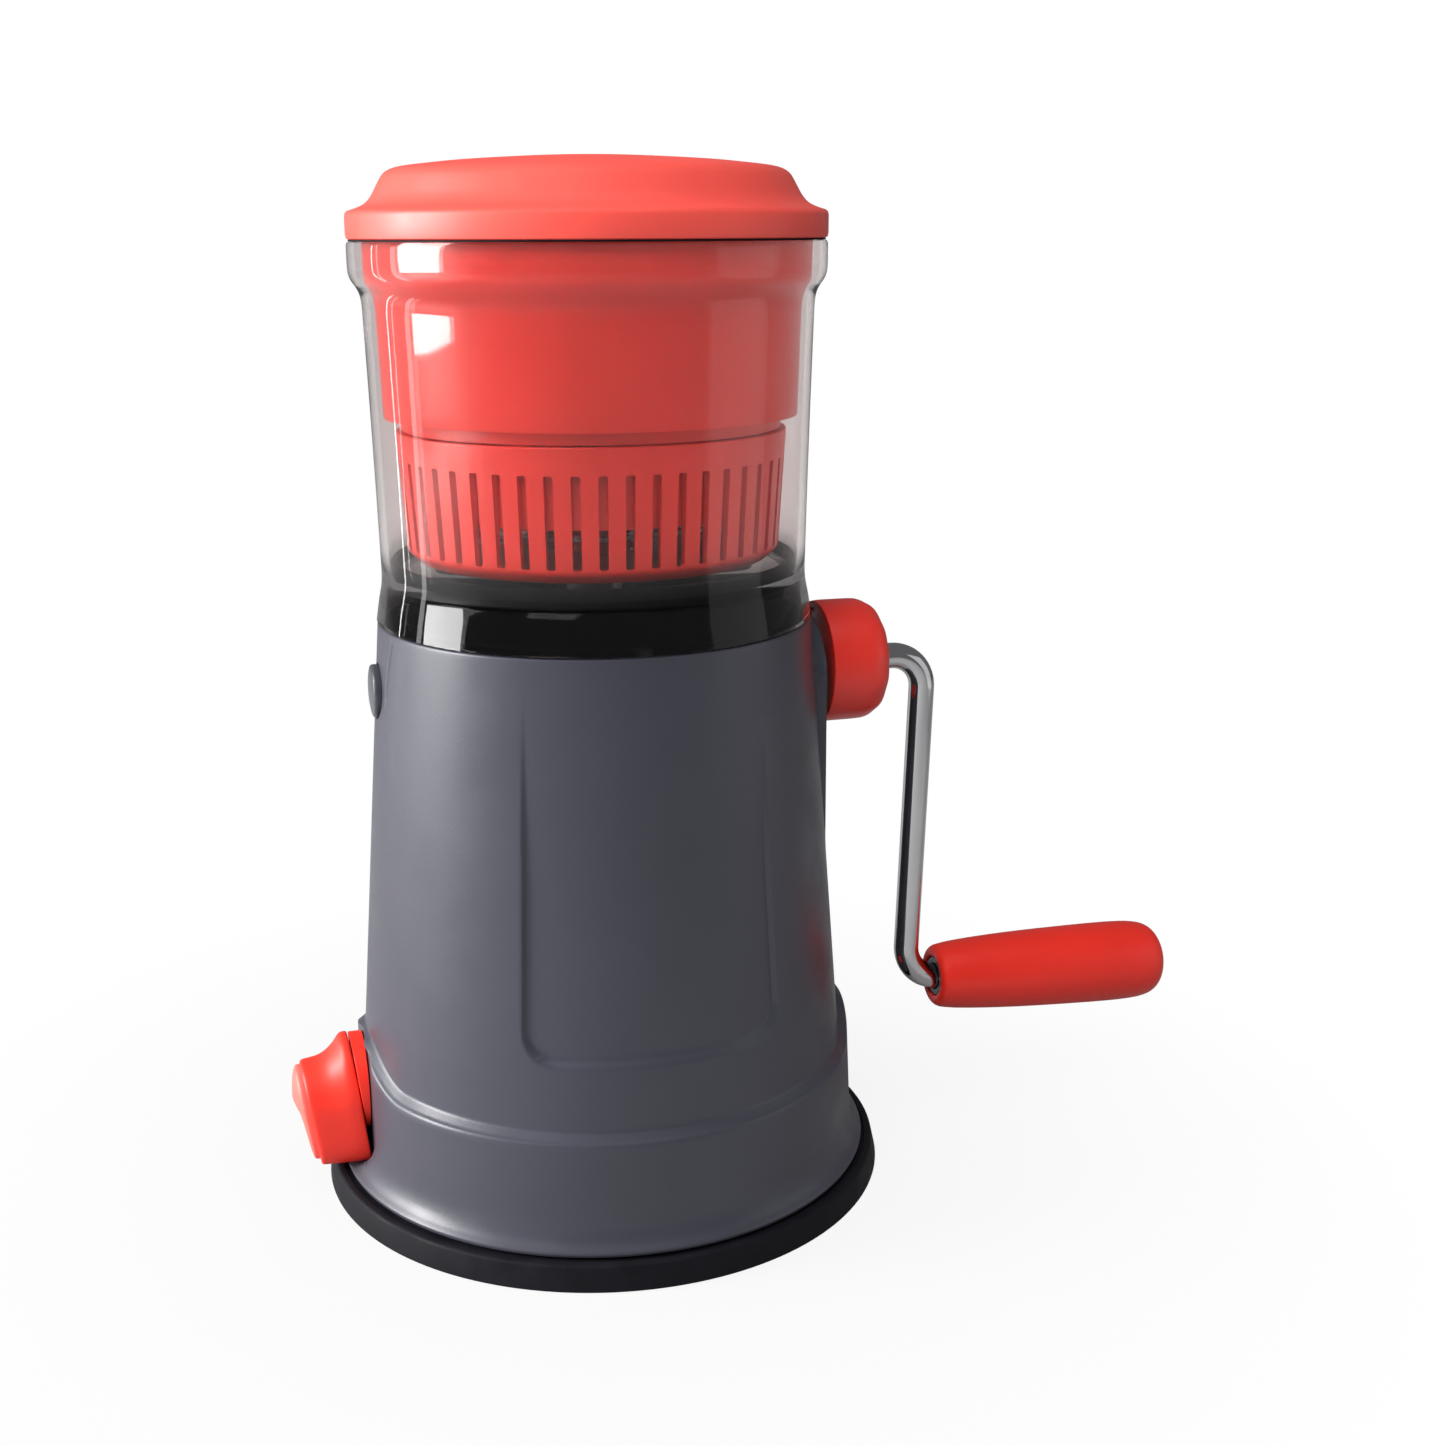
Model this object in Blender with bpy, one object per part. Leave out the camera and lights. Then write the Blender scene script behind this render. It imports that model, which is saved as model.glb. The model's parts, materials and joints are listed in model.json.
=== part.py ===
"""Hand crank food grinder: suction base, geared body, smoked bowl with a slotted basket, lid and side crank.

Metres, +Z up. The origin is the centre of the pad's flat underside. The crank points to +X and the front is -Y.
Lengths are written in millimetres and multiplied by MM once, where a mesh is finished.
"""

import math

import bmesh
import bpy
from mathutils import Matrix, Vector

MM = 0.001
GAP = 0.3                 # clearance between pieces that touch
BIG = 32                  # sides of the large turned pieces
MEDIUM = 20               # sides of hand-sized round pieces
SMALL = 10                # sides of shafts, screws and bushes

# Base
PAD_RADIUS = 86.8
PAD_HEIGHT = 7.8
LIP_RADIUS = 81.9
LIP_BOTTOM = PAD_HEIGHT + GAP
BASE_RADIUS = 78.0
RIDGE_HEIGHT = 40.3       # shoulder between the base skirt and the cone
RIDGE_RISE = 8.2          # how far the shoulder climbs over the lever bosses
RIDGE_RADIUS = 77.0
SHELF_RISE = 2.3          # height of the sloping shelf above the skirt
WALL = 2.4
FOOT_RADIUS = 70.8        # circle of the foot screws
DECK_SCREW_RADIUS = 58.6  # circle of the deck screws

# Cone and body top
BODY_TOP = 175.0
BODY_TOP_RADIUS = 63.9
CONE_SLOPE = 0.0768
LEDGE_BOTTOM = 168.0
LEDGE_TOP = 172.0
LEDGE_RADIUS = 55.0

# Suction lever and its shaft
CAM_HEIGHT = 34.0
CAM_SHAFT_RADIUS = 4.0
CAM_RADIUS = 8.0
CAM_OFFSET = 3.0
FLAT_X = 74.5             # flat seats of the lever bosses
LEVER_SWEEP = 25.0        # reach of the paddle's lower end about the cam shaft
SEAT_RADIUS = 15.2
CAP_SEAT_RADIUS = 8.2
LEVER_TOP = 48.7
LEVER_BOTTOM = 10.8
LEVER_INNER_X = -79.4     # of the paddle's upper end; its lower end leans in to the wall
LEVER_LEAN = 4.5
HUB_RADIUS = 14.6
HUB_INNER_X = -74.8
LEVER_OUTER_X = -94.2

# Crank
CRANK_HEIGHT = 155.5
CRANK_SHAFT_RADIUS = 4.0
COLLAR_RADIUS = 18.8
COLLAR_INNER_X = 69.2
COLLAR_OUTER_X = 90.2
BOSS_X = 66.5             # flat face of the crank boss
BOSS_RADIUS = 20.5
BOSS_TAIL = 95.0          # where the boss has run out into the cone
ROD_RADIUS = 4.05
ROD_TILT = math.radians(1.8)
ROD_BEND_UPPER = 10.5
ROD_BEND_LOWER = 11.5
ROD_TOP_CORNER_X = 105.6
GRIP_START = Vector((112.0, 0.0, 45.6))
GRIP_LENGTH = 82.2
GRIP_RADIUS = 13.3

# Bevel gears, apex at the crossing of the crank and drive axes
GEAR_TEETH = 32
PINION_TEETH = 16
GEAR_PITCH_RADIUS = 20.0
PINION_PITCH_RADIUS = 10.0
FACE_WIDTH = 6.0
TOOTH_HEIGHT = 1.1        # above and below the pitch cone
TOOTH_SHARE = 0.36        # share of one tooth pitch filled at the pitch cone

# Deck, bowl and what stands in it
PLATFORM_RADIUS = 55.4
PLATFORM_TOP = 186.0
FLOOR_BOTTOM = 186.6
FLOOR_TOP = 189.2
BOWL_TOP = 281.8
BOWL_WALL = 2.2
SLEEVE_TOP = 282.3
SKIRT_BOTTOM = 207.5
LID_BOTTOM = 282.4
LID_TOP = 305.0
SLOTS = 48
SLOT_WIDTH = 2.5
SLOT_BOTTOM = 197.0
SLOT_TOP = 222.4
SLOT_PHASE = 0.68
BASKET_BOTTOM = 193.0
BASKET_TOP = 230.0
DRIVE_RADIUS = 4.0


def clear_scene():
    for item in list(bpy.data.objects):
        bpy.data.objects.remove(item, do_unlink=True)


def material(name, colour, roughness, metallic=0.0, alpha=1.0):
    made = bpy.data.materials.new(name)
    made.use_nodes = True
    shader = made.node_tree.nodes["Principled BSDF"]
    shader.inputs["Base Color"].default_value = (*colour, 1.0)
    shader.inputs["Roughness"].default_value = roughness
    shader.inputs["Metallic"].default_value = metallic
    shader.inputs["Alpha"].default_value = alpha
    return made


def finished(name, mesh, finish, parent=None, origin=(0, 0, 0)):
    """An object from a bmesh in world millimetres, with its own origin, in metres."""
    bmesh.ops.remove_doubles(mesh, verts=mesh.verts, dist=1e-4)
    bmesh.ops.recalc_face_normals(mesh, faces=mesh.faces)
    if mesh.calc_volume(signed=True) < 0:
        bmesh.ops.reverse_faces(mesh, faces=mesh.faces)
    shift = Vector(origin)
    bmesh.ops.transform(mesh, matrix=Matrix.Scale(MM, 4) @ Matrix.Translation(-shift), verts=mesh.verts)
    data = bpy.data.meshes.new(name)
    mesh.to_mesh(data)
    mesh.free()
    data.shade_smooth()
    data.set_sharp_from_angle(angle=math.radians(35))
    data.materials.append(finish)
    item = bpy.data.objects.new(name, data)
    bpy.context.scene.collection.objects.link(item)
    item.location = shift * MM
    if parent is not None:
        item.parent = parent
        item.location = shift * MM - parent.location
    return item


def pivot(name, place):
    """An empty on a joint's axis."""
    item = bpy.data.objects.new(name, None)
    item.empty_display_size = 0.01
    item.location = Vector(place) * MM
    bpy.context.scene.collection.objects.link(item)
    return item


def turned(profile, sides, place=None):
    """A closed (radius, height) outline spun about Z, then moved by a matrix."""
    mesh = bmesh.new()
    verts = [mesh.verts.new((radius, 0, height)) for radius, height in profile]
    edges = []
    for first, second in zip(verts, verts[1:] + verts[:1]):
        if first.co.x > 0 or second.co.x > 0:
            edges.append(mesh.edges.new((first, second)))
    bmesh.ops.spin(mesh, geom=verts + edges, cent=(0, 0, 0), axis=(0, 0, 1),
                   angle=2 * math.pi, steps=sides, use_merge=True)
    bmesh.ops.remove_doubles(mesh, verts=mesh.verts, dist=1e-4)
    if place is not None:
        bmesh.ops.transform(mesh, matrix=place, verts=mesh.verts)
    return mesh


def tube(outer, inner, low, high, sides=SMALL, place=None):
    """A ring or, with no inner radius, a disc."""
    if inner:
        return turned([(inner, low), (outer, low), (outer, high), (inner, high)], sides, place)
    return turned([(0, low), (outer, low), (outer, high), (0, high)], sides, place)


def along_x(x=0.0, height=0.0):
    """Turns +Z into +X and moves the result to a point of the XZ plane."""
    return Matrix.Translation((x, 0, height)) @ Matrix.Rotation(math.radians(90), 4, "Y")


def lofted(rings):
    """A closed solid through rings of equally many points."""
    mesh = bmesh.new()
    made = [[mesh.verts.new(point) for point in ring] for ring in rings]
    count = len(made[0])
    for first, second in zip(made, made[1:]):
        for i in range(count):
            j = (i + 1) % count
            mesh.faces.new((first[i], first[j], second[j], second[i]))
    mesh.faces.new(made[0])
    mesh.faces.new(made[-1])
    return mesh


def cut(item, cutter, operation="DIFFERENCE"):
    """Applies a Boolean by an exact modifier whose tool stays hidden."""
    cutter.hide_render = True
    cutter.display_type = "WIRE"
    modifier = item.modifiers.new(cutter.name, "BOOLEAN")
    modifier.operation = operation
    modifier.object = cutter
    modifier.solver = "EXACT"


def tool(name, mesh):
    item = finished(name, mesh, FINISH["dark"])
    item.hide_render = True
    item.display_type = "WIRE"
    return item


def smooth_step(value):
    value = min(max(value, 0.0), 1.0)
    return value * value * (3 - 2 * value)


# Body shell ----------------------------------------------------------------------------------------------------

def cone_radius(height):
    return BODY_TOP_RADIUS + (BODY_TOP - height) * CONE_SLOPE


def ridge_height(angle):
    """The shoulder climbs where the wall faces +X or -X."""
    from_side = math.degrees(math.asin(min(1.0, abs(math.sin(angle)))))
    return RIDGE_HEIGHT + RIDGE_RISE * (1 - smooth_step((from_side - 5) / 22))


def shell_rows(angle):
    """Outer radius and height of each row of the body at one angle, bottom to top."""
    ridge = ridge_height(angle)
    foot = ridge + SHELF_RISE
    rows = [(LIP_RADIUS, LIP_BOTTOM), (LIP_RADIUS, 9.6), (80.4, 11.0), (78.9, 14.5), (BASE_RADIUS, 20.0)]
    rows += [(RIDGE_RADIUS, ridge)]
    rows += [(cone_radius(foot) + 0.1, foot)]
    rows += [(cone_radius(height), height) for height in (62.0, 95.0, 132.0, BODY_TOP)]
    return rows


def shell_mesh():
    mesh = bmesh.new()
    columns = []
    for step in range(BIG):
        angle = 2 * math.pi * step / BIG
        rows = shell_rows(angle)
        inner = [(radius - WALL, height) for radius, height in rows[4:]]
        inner[-1] = (cone_radius(BODY_TOP) - WALL, BODY_TOP)
        ledge = [(cone_radius(LEDGE_TOP) - WALL, LEDGE_TOP), (LEDGE_RADIUS, LEDGE_TOP)]
        ledge += [(LEDGE_RADIUS, LEDGE_BOTTOM), (cone_radius(LEDGE_BOTTOM - 3) - WALL, LEDGE_BOTTOM - 3)]
        ring = rows + [inner[-1]] + ledge + inner[-2::-1] + [(BASE_RADIUS - WALL, LIP_BOTTOM)]
        column = []
        for radius, height in ring:
            column.append(mesh.verts.new((radius * math.cos(angle), radius * math.sin(angle), height)))
        columns.append(column)
    for first, second in zip(columns, columns[1:] + columns[:1]):
        for i in range(len(first)):
            j = (i + 1) % len(first)
            mesh.faces.new((first[i], second[i], second[j], first[j]))
    return mesh


def seat_solid(side, inner_x, outer_x, radius, low=-100.0, high=100.0):
    """Disc about the cam shaft's axis, cut flat at two heights."""
    outline = []
    for step in range(32):
        angle = 2 * math.pi * (step + 0.5) / 32
        height = CAM_HEIGHT + radius * math.sin(angle)
        outline.append((radius * math.cos(angle), min(max(height, low), high)))
    return lofted([[(side * x, y, z) for y, z in outline] for x in (inner_x, outer_x)])


def boss_mesh():
    """Flat-faced boss round the crank axis, round at its top and straight-sided down to where the cone takes over."""
    centre = CRANK_HEIGHT - 3.2
    outline = []
    for step in range(17):
        angle = math.pi * step / 16
        outline.append((BOSS_RADIUS * math.cos(angle), centre + BOSS_RADIUS * math.sin(angle)))
    outline += [(-BOSS_RADIUS, BOSS_TAIL), (BOSS_RADIUS, BOSS_TAIL)]
    rings = []
    for x, ease in ((56.0, 0.0), (BOSS_X - 0.8, 0.0), (BOSS_X, 0.8)):
        rings.append([(x, y * (1 - ease / BOSS_RADIUS), min(z, BODY_TOP - 1.4 - ease)) for y, z in outline])
    return lofted(rings)


def build_seats(housing):
    """Flat seats for the hub and the cap, the wall made thicker behind them, and room for the paddle's sweep."""
    seats = ((1, "right", CAP_SEAT_RADIUS, 71.8, 50.3, 74.45, 100.0), (-1, "left", SEAT_RADIUS, 71.8, 50.3, 74.45, 100.0),
             (-1, "sweep", LEVER_SWEEP, 71.9, 40.0, FLAT_X, 47.5))
    rim = [(0, 0), (76.4, 0), (76.4, 47.0), (74.4, 49.4), (73.2, 50.4), (0, 50.4)]
    for side, word, radius, inner_x, top, _, _ in seats:
        backing = tool(f"backing_{word}", seat_solid(side, inner_x, 76.4, radius + 2.0, 12.2, top))
        cut(backing, tool(f"backing_rim_{word}", turned(rim, BIG)), "INTERSECT")
        cut(housing, backing, "UNION")
    for side, word, radius, _, _, face_x, top in seats:
        cut(housing, tool(f"recess_{word}", seat_solid(side, face_x, 95.0, radius, -100.0, top)))


def build_housing():
    housing = finished("housing", shell_mesh(), FINISH["slate"])
    boss = tool("crank_boss", boss_mesh())
    core = [(0, 70.0), (cone_radius(70.0) - WALL / 2, 70.0), (cone_radius(180.0) - WALL / 2, 180.0), (0, 180.0)]
    cut(boss, tool("boss_core", turned(core, BIG)))
    cut(housing, boss, "UNION")
    build_seats(housing)
    for name, height, radius in (("cam_bore", CAM_HEIGHT, 6.5), ("crank_bore", CRANK_HEIGHT, 8.3)):
        cut(housing, tool(name, tube(radius, 0, -100, 100, SMALL, along_x(0, height))))
    for number, angle in enumerate(FOOT_ANGLES):
        place = Matrix.Rotation(angle, 4, "Z") @ Matrix.Translation((FOOT_RADIUS, 0, 0))
        cut(housing, tool(f"foot_boss_{number + 1}", tube(5.6, 0, 12.0, 26.0, 8, place)), "UNION")
        cut(housing, tool(f"foot_hole_{number + 1}", tube(1.7, 0, 10.0, 23.0, 8, place)))
    for number, angle in enumerate(DECK_ANGLES):
        place = Matrix.Rotation(angle, 4, "Z") @ Matrix.Translation((DECK_SCREW_RADIUS, 0, 0))
        cut(housing, tool(f"ledge_hole_{number + 1}", tube(1.7, 0, 160.0, 176.0, 8, place)))


# Base ----------------------------------------------------------------------------------------------------------

def build_pad():
    profile = [(0, 0), (PAD_RADIUS, 0), (PAD_RADIUS - 1.8, PAD_HEIGHT), (82.6, PAD_HEIGHT), (82.6, PAD_HEIGHT - 0.5),
               (62.0, PAD_HEIGHT - 0.5), (57.0, 3.0), (12.0, 3.0), (10.0, 7.0), (0, 7.0)]
    finished("suction_pad", turned(profile, BIG), FINISH["rubber"])


def build_base_frame():
    """Ring that holds the pad's edge, with a bridge that guides the pull yoke."""
    frame = finished("base_frame", tube(74.1, 63.5, LIP_BOTTOM, 11.6, BIG), FINISH["dark"])
    bridge = bmesh.new()
    middle = Vector((0, 0, 13.6))
    bmesh.ops.create_cube(bridge, size=1.0, matrix=Matrix.LocRotScale(middle, None, Vector((16, 140, 4))))
    cut(frame, tool("frame_bridge", bridge), "UNION")
    cut(frame, tool("frame_pocket", tube(8.8, 0, 11.0, 12.6, MEDIUM)))
    guide = bmesh.new()
    bmesh.ops.create_cube(guide, size=1.0, matrix=Matrix.LocRotScale(middle, None, Vector((6, 13, 9))))
    cut(frame, tool("frame_guide", guide))
    for number, angle in enumerate(FOOT_ANGLES):
        place = Matrix.Rotation(angle, 4, "Z") @ Matrix.Translation((FOOT_RADIUS, 0, 0))
        cut(frame, tool(f"frame_hole_{number + 1}", tube(1.7, 0, 5.0, 20.0, 8, place)))
        cut(frame, tool(f"frame_sink_{number + 1}", tube(2.8, 0, 5.0, 10.0, 8, place)))


def screw_mesh(angle, radius, head_low, head_high, tip, head=2.5, shank=1.3):
    """A pan-head screw whose shank runs from its head to its tip, up or down."""
    place = Matrix.Rotation(angle, 4, "Z") @ Matrix.Translation((radius, 0, 0))
    if tip > head_high:
        profile = [(0, head_low), (head, head_low + 0.5), (head, head_high), (shank, head_high), (shank, tip - 1.2)]
        profile += [(0, tip)]
    else:
        profile = [(0, tip), (shank, tip + 1.2), (shank, head_low), (head, head_low), (head, head_high - 0.5)]
        profile += [(0, head_high)]
    return turned(profile, 8, place)


def build_screws():
    for number, angle in enumerate(FOOT_ANGLES):
        finished(f"foot_screw_{number + 1}", screw_mesh(angle, FOOT_RADIUS, 8.1, 9.7, 20.0), FINISH["steel"])
    for number, angle in enumerate(DECK_ANGLES):
        screw = screw_mesh(angle, DECK_SCREW_RADIUS, 175.2, 176.8, 165.0, 2.4)
        finished(f"deck_screw_{number + 1}", screw, FINISH["steel"])


def build_bushes():
    for word, turn, tip in (("right", math.pi, -66.2), ("left", 0.0, -64.0)):
        facing = Matrix.Rotation(turn, 4, "Z")
        cam = [(4.3, -FLAT_X + 5.0), (8.5, -FLAT_X + 5.0), (8.5, -FLAT_X + 3.1), (6.2, -FLAT_X + 3.1)]
        cam += [(6.2, -FLAT_X + 0.5), (4.3, -FLAT_X + 0.5)]
        finished(f"cam_bush_{word}", turned(cam, SMALL, facing @ along_x(0, CAM_HEIGHT)), FINISH["dark"])
        crank = [(4.3, -59.6), (9.2, -59.6), (9.2, -61.5), (8.0, -61.5), (8.0, tip), (4.3, tip)]
        finished(f"crank_bush_{word}", turned(crank, SMALL, facing @ along_x(0, CRANK_HEIGHT)), FINISH["dark"])


# Suction lever -------------------------------------------------------------------------------------------------

def build_cam_shaft(parent):
    """Shaft across the base with an eccentric in the middle that lifts the yoke."""
    origin = (0, 0, CAM_HEIGHT)
    shaft = finished("cam_shaft", tube(CAM_SHAFT_RADIUS, 0, -79.5, 75.6, SMALL, along_x(0, CAM_HEIGHT)),
                     FINISH["steel"], parent, origin)
    shift = Matrix.Translation((0, -CAM_OFFSET, 0))
    cam = tool("cam_lobe", tube(CAM_RADIUS, 0, -5.0, 5.0, MEDIUM, shift @ along_x(0, CAM_HEIGHT)))
    cut(shaft, cam, "UNION")


def build_pull_yoke():
    """Frame round the cam with a stem down to the pad's centre."""
    centre = CAM_HEIGHT - 0.3
    half_window = CAM_RADIUS + 1.2
    plate = bmesh.new()
    bmesh.ops.create_cube(plate, size=1.0, matrix=Matrix.LocRotScale(
        Vector((0, 0, centre)), None, Vector((8, 34, 2 * half_window + 6))))
    yoke = finished("pull_yoke", plate, FINISH["steel"])
    window = bmesh.new()
    bmesh.ops.create_cube(window, size=1.0, matrix=Matrix.LocRotScale(
        Vector((0, 0, centre)), None, Vector((12, 25, 2 * half_window))))
    cut(yoke, tool("yoke_window", window))
    low = 7.4
    high = centre - half_window - 2
    stem = bmesh.new()
    bmesh.ops.create_cube(stem, size=1.0, matrix=Matrix.LocRotScale(
        Vector((0, 0, (low + high) / 2)), None, Vector((5, 12, high - low))))
    cut(yoke, tool("yoke_stem", stem), "UNION")
    foot = tube(8.0, 0, low, low + 1.0, SMALL)
    cut(yoke, tool("yoke_foot", foot), "UNION")


def rounded_ring(x, top, bottom, half_width, lean=0.0, points=24):
    """Outline with a round top and a boxy bottom; lean draws its lower edge inwards along X."""
    centre = (top + bottom) / 2
    half_height = (top - bottom) / 2
    ring = []
    for step in range(points):
        angle = 2 * math.pi * step / points
        power = 2 / (2.3 if math.sin(angle) > 0 else 5.0)
        y = half_width * math.copysign(abs(math.cos(angle)) ** power, math.cos(angle))
        z = centre + half_height * math.copysign(abs(math.sin(angle)) ** power, math.sin(angle))
        ring.append((x + lean * (top - z) / (top - bottom), y, z))
    return ring


def hub_mesh():
    """Disc between the wall and the paddle, its outer face slanted like the paddle's back."""
    near = []
    far = []
    for step in range(MEDIUM):
        angle = 2 * math.pi * step / MEDIUM
        y = HUB_RADIUS * math.cos(angle)
        z = CAM_HEIGHT + HUB_RADIUS * math.sin(angle)
        slant = LEVER_LEAN * (LEVER_TOP - z) / (LEVER_TOP - LEVER_BOTTOM)
        near.append((HUB_INNER_X, y, z))
        far.append((LEVER_INNER_X + GAP + slant, y, z))
    return lofted([near, far])


def build_lever(parent):
    """Thumb knob: a tall root at the wall that falls in a hollow curve to a deep oval paddle."""
    stations = [(0.0, LEVER_TOP, 14.2), (1.6, LEVER_TOP, 14.2), (2.9, 47.9, 14.1), (4.4, 45.6, 13.9)]
    stations += [(6.9, 43.2, 13.5), (9.5, 41.9, 13.2), (13.0, 41.3, 12.8), (14.4, 40.8, 12.3), (14.8, 39.8, 11.4)]
    rings = []
    for depth, top, half_width in stations:
        rings.append(rounded_ring(LEVER_INNER_X - depth, top, LEVER_BOTTOM, half_width, LEVER_LEAN))
    origin = (LEVER_INNER_X, 0, CAM_HEIGHT)
    lever = finished("suction_lever", lofted(rings), FINISH["lever_red"], parent, origin)
    bore = tube(CAM_SHAFT_RADIUS + GAP, 0, -80.0, -70.0, SMALL, along_x(0, CAM_HEIGHT))
    cut(lever, tool("lever_bore", bore))
    face = []
    for depth, top, bottom, half_width in ((0.3, 39.3, 13.6, 10.8), (1.3, 39.3, 13.6, 10.8), (2.2, 37.8, 15.0, 9.4),
                                           (2.8, 34.0, 18.6, 6.0)):
        face.append(rounded_ring(LEVER_OUTER_X - depth, top, bottom, half_width, 3.9))
    finished("lever_face", lofted(face), FINISH["face_red"], parent, (LEVER_OUTER_X, 0, CAM_HEIGHT))
    hub = finished("lever_hub", hub_mesh(), FINISH["lever_red"], parent, (HUB_INNER_X, 0, CAM_HEIGHT))
    cut(hub, tool("hub_bore", tube(CAM_SHAFT_RADIUS + GAP, 0, -90, -60, SMALL, along_x(0, CAM_HEIGHT))))
    cap = [(4.3, 74.8), (7.4, 74.8), (7.4, 75.8), (6.6, 77.1), (4.6, 77.9), (0, 78.2), (0, 75.9), (4.3, 75.9)]
    finished("cam_cap", turned(cap, MEDIUM, along_x(0, CAM_HEIGHT)), FINISH["lever_red"], parent,
             (FLAT_X, 0, CAM_HEIGHT))


# Crank ---------------------------------------------------------------------------------------------------------

def gear_mesh(teeth, radius, apex_distance, phase):
    """Straight bevel gear about Z with its apex at the origin and its teeth facing away from it."""
    slant = math.hypot(radius, apex_distance)
    pitch_angle = math.atan2(radius, apex_distance)
    front = (slant - FACE_WIDTH) / slant
    lift = TOOTH_HEIGHT / slant
    quarter = 2 * math.pi / teeth * TOOTH_SHARE / 2
    outline = []
    for tooth in range(teeth):
        middle = 2 * math.pi * (tooth + phase) / teeth
        for turn, height in ((-1.9, -1), (-0.55, 1), (0.55, 1), (1.9, -1)):
            outline.append((middle + turn * quarter, pitch_angle + height * lift))
    rings = []
    for scale in (1.0, front):
        ring = []
        for turn, tilt in outline:
            reach = slant * scale
            flat = reach * math.sin(tilt)
            ring.append((flat * math.cos(turn), flat * math.sin(turn), reach * math.cos(tilt)))
        rings.append(ring)
    return rings


def closed_gear(rings, low, high):
    """Joins the two toothed rings and closes each with a shallow cone up to a point on the axis."""
    mesh = bmesh.new()
    made = [[mesh.verts.new(point) for point in ring] for ring in rings]
    count = len(made[0])
    for i in range(count):
        j = (i + 1) % count
        mesh.faces.new((made[0][i], made[0][j], made[1][j], made[1][i]))
    for loop, height in ((made[0], low), (made[1], high)):
        centre = mesh.verts.new((0, 0, height))
        for i in range(count):
            mesh.faces.new((loop[i], loop[(i + 1) % count], centre))
    return mesh


def build_gears(crank_parent, drive_parent):
    apex = Matrix.Translation((0, 0, CRANK_HEIGHT))
    rings = gear_mesh(GEAR_TEETH, GEAR_PITCH_RADIUS, PINION_PITCH_RADIUS, 0.0)
    gear = closed_gear(rings, 13.4, 8.0)
    bmesh.ops.transform(gear, matrix=apex @ Matrix.Rotation(math.radians(90), 4, "Y"), verts=gear.verts)
    item = finished("bevel_gear", gear, FINISH["white"], crank_parent, (0, 0, CRANK_HEIGHT))
    cut(item, tool("gear_hub", tube(8.0, 0, 9.5, 18.0, SMALL, along_x(0, CRANK_HEIGHT))), "UNION")
    cut(item, tool("gear_bore", tube(CRANK_SHAFT_RADIUS + GAP, 0, 0, 40.0, SMALL, along_x(0, CRANK_HEIGHT))))
    rings = gear_mesh(PINION_TEETH, PINION_PITCH_RADIUS, GEAR_PITCH_RADIUS, 0.5)
    pinion = closed_gear(rings, 20.4, 13.6)
    bmesh.ops.transform(pinion, matrix=apex, verts=pinion.verts)
    item = finished("drive_pinion", pinion, FINISH["white"], drive_parent, (0, 0, CRANK_HEIGHT))
    cut(item, tool("pinion_bore", tube(DRIVE_RADIUS + GAP, 0, 160.0, 185.0)))


def corner_fillet(before, corner, after, radius, steps):
    """Points of the arc that rounds one corner of a path."""
    back = (before - corner).normalized()
    on = (after - corner).normalized()
    half = back.angle(on) / 2
    tangent = radius / math.tan(half)
    centre = corner + (back + on).normalized() * (radius / math.sin(half))
    first = corner + back * tangent - centre
    last = corner + on * tangent - centre
    sweep = first.angle(last)
    points = []
    for step in range(steps + 1):
        share = step / steps
        blend = first * math.sin((1 - share) * sweep) + last * math.sin(share * sweep)
        points.append(centre + blend / math.sin(sweep))
    return points


def build_crank(parent):
    origin = (0, 0, CRANK_HEIGHT)
    finished("crank_shaft", tube(CRANK_SHAFT_RADIUS, 0, -63.6, 78.0, SMALL, along_x(0, CRANK_HEIGHT)),
                     FINISH["steel"], parent, origin)
    profile = [(4.3, COLLAR_INNER_X + 1.4), (16.6, COLLAR_INNER_X + 1.4), (16.6, COLLAR_INNER_X)]
    profile += [(COLLAR_RADIUS, COLLAR_INNER_X), (COLLAR_RADIUS, 83.4), (18.2, 85.6), (16.6, 87.6), (14.0, 89.0)]
    profile += [(10.5, 89.9), (7.0, COLLAR_OUTER_X), (4.4, COLLAR_OUTER_X)]
    finished("crank_collar", turned(profile, MEDIUM, along_x(0, CRANK_HEIGHT)), FINISH["red"], parent, origin)
    top = Vector((ROD_TOP_CORNER_X, 0, CRANK_HEIGHT))
    grip_axis = Vector((math.cos(ROD_TILT), 0, -math.sin(ROD_TILT)))
    arm = Vector((-math.sin(ROD_TILT), 0, -math.cos(ROD_TILT)))
    drop = (top - GRIP_START).dot(-arm)
    low = top + arm * drop
    start = Vector((78.4, 0, CRANK_HEIGHT))
    end = low + grip_axis * 50.0
    path = [start] + corner_fillet(start, top, low, ROD_BEND_UPPER, 5)
    path += corner_fillet(top, low, end, ROD_BEND_LOWER, 5) + [end]
    curve = bpy.data.curves.new("crank_rod", "CURVE")
    curve.dimensions = "3D"
    curve.bevel_depth = ROD_RADIUS * MM
    curve.bevel_resolution = 2
    curve.use_fill_caps = True
    spline = curve.splines.new("POLY")
    spline.points.add(len(path) - 1)
    for point, place in zip(spline.points, path):
        point.co = (*((place - Vector(origin)) * MM), 1.0)
    curve.materials.append(FINISH["chrome"])
    rod = bpy.data.objects.new("crank_rod", curve)
    rod.parent = parent
    bpy.context.scene.collection.objects.link(rod)


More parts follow.
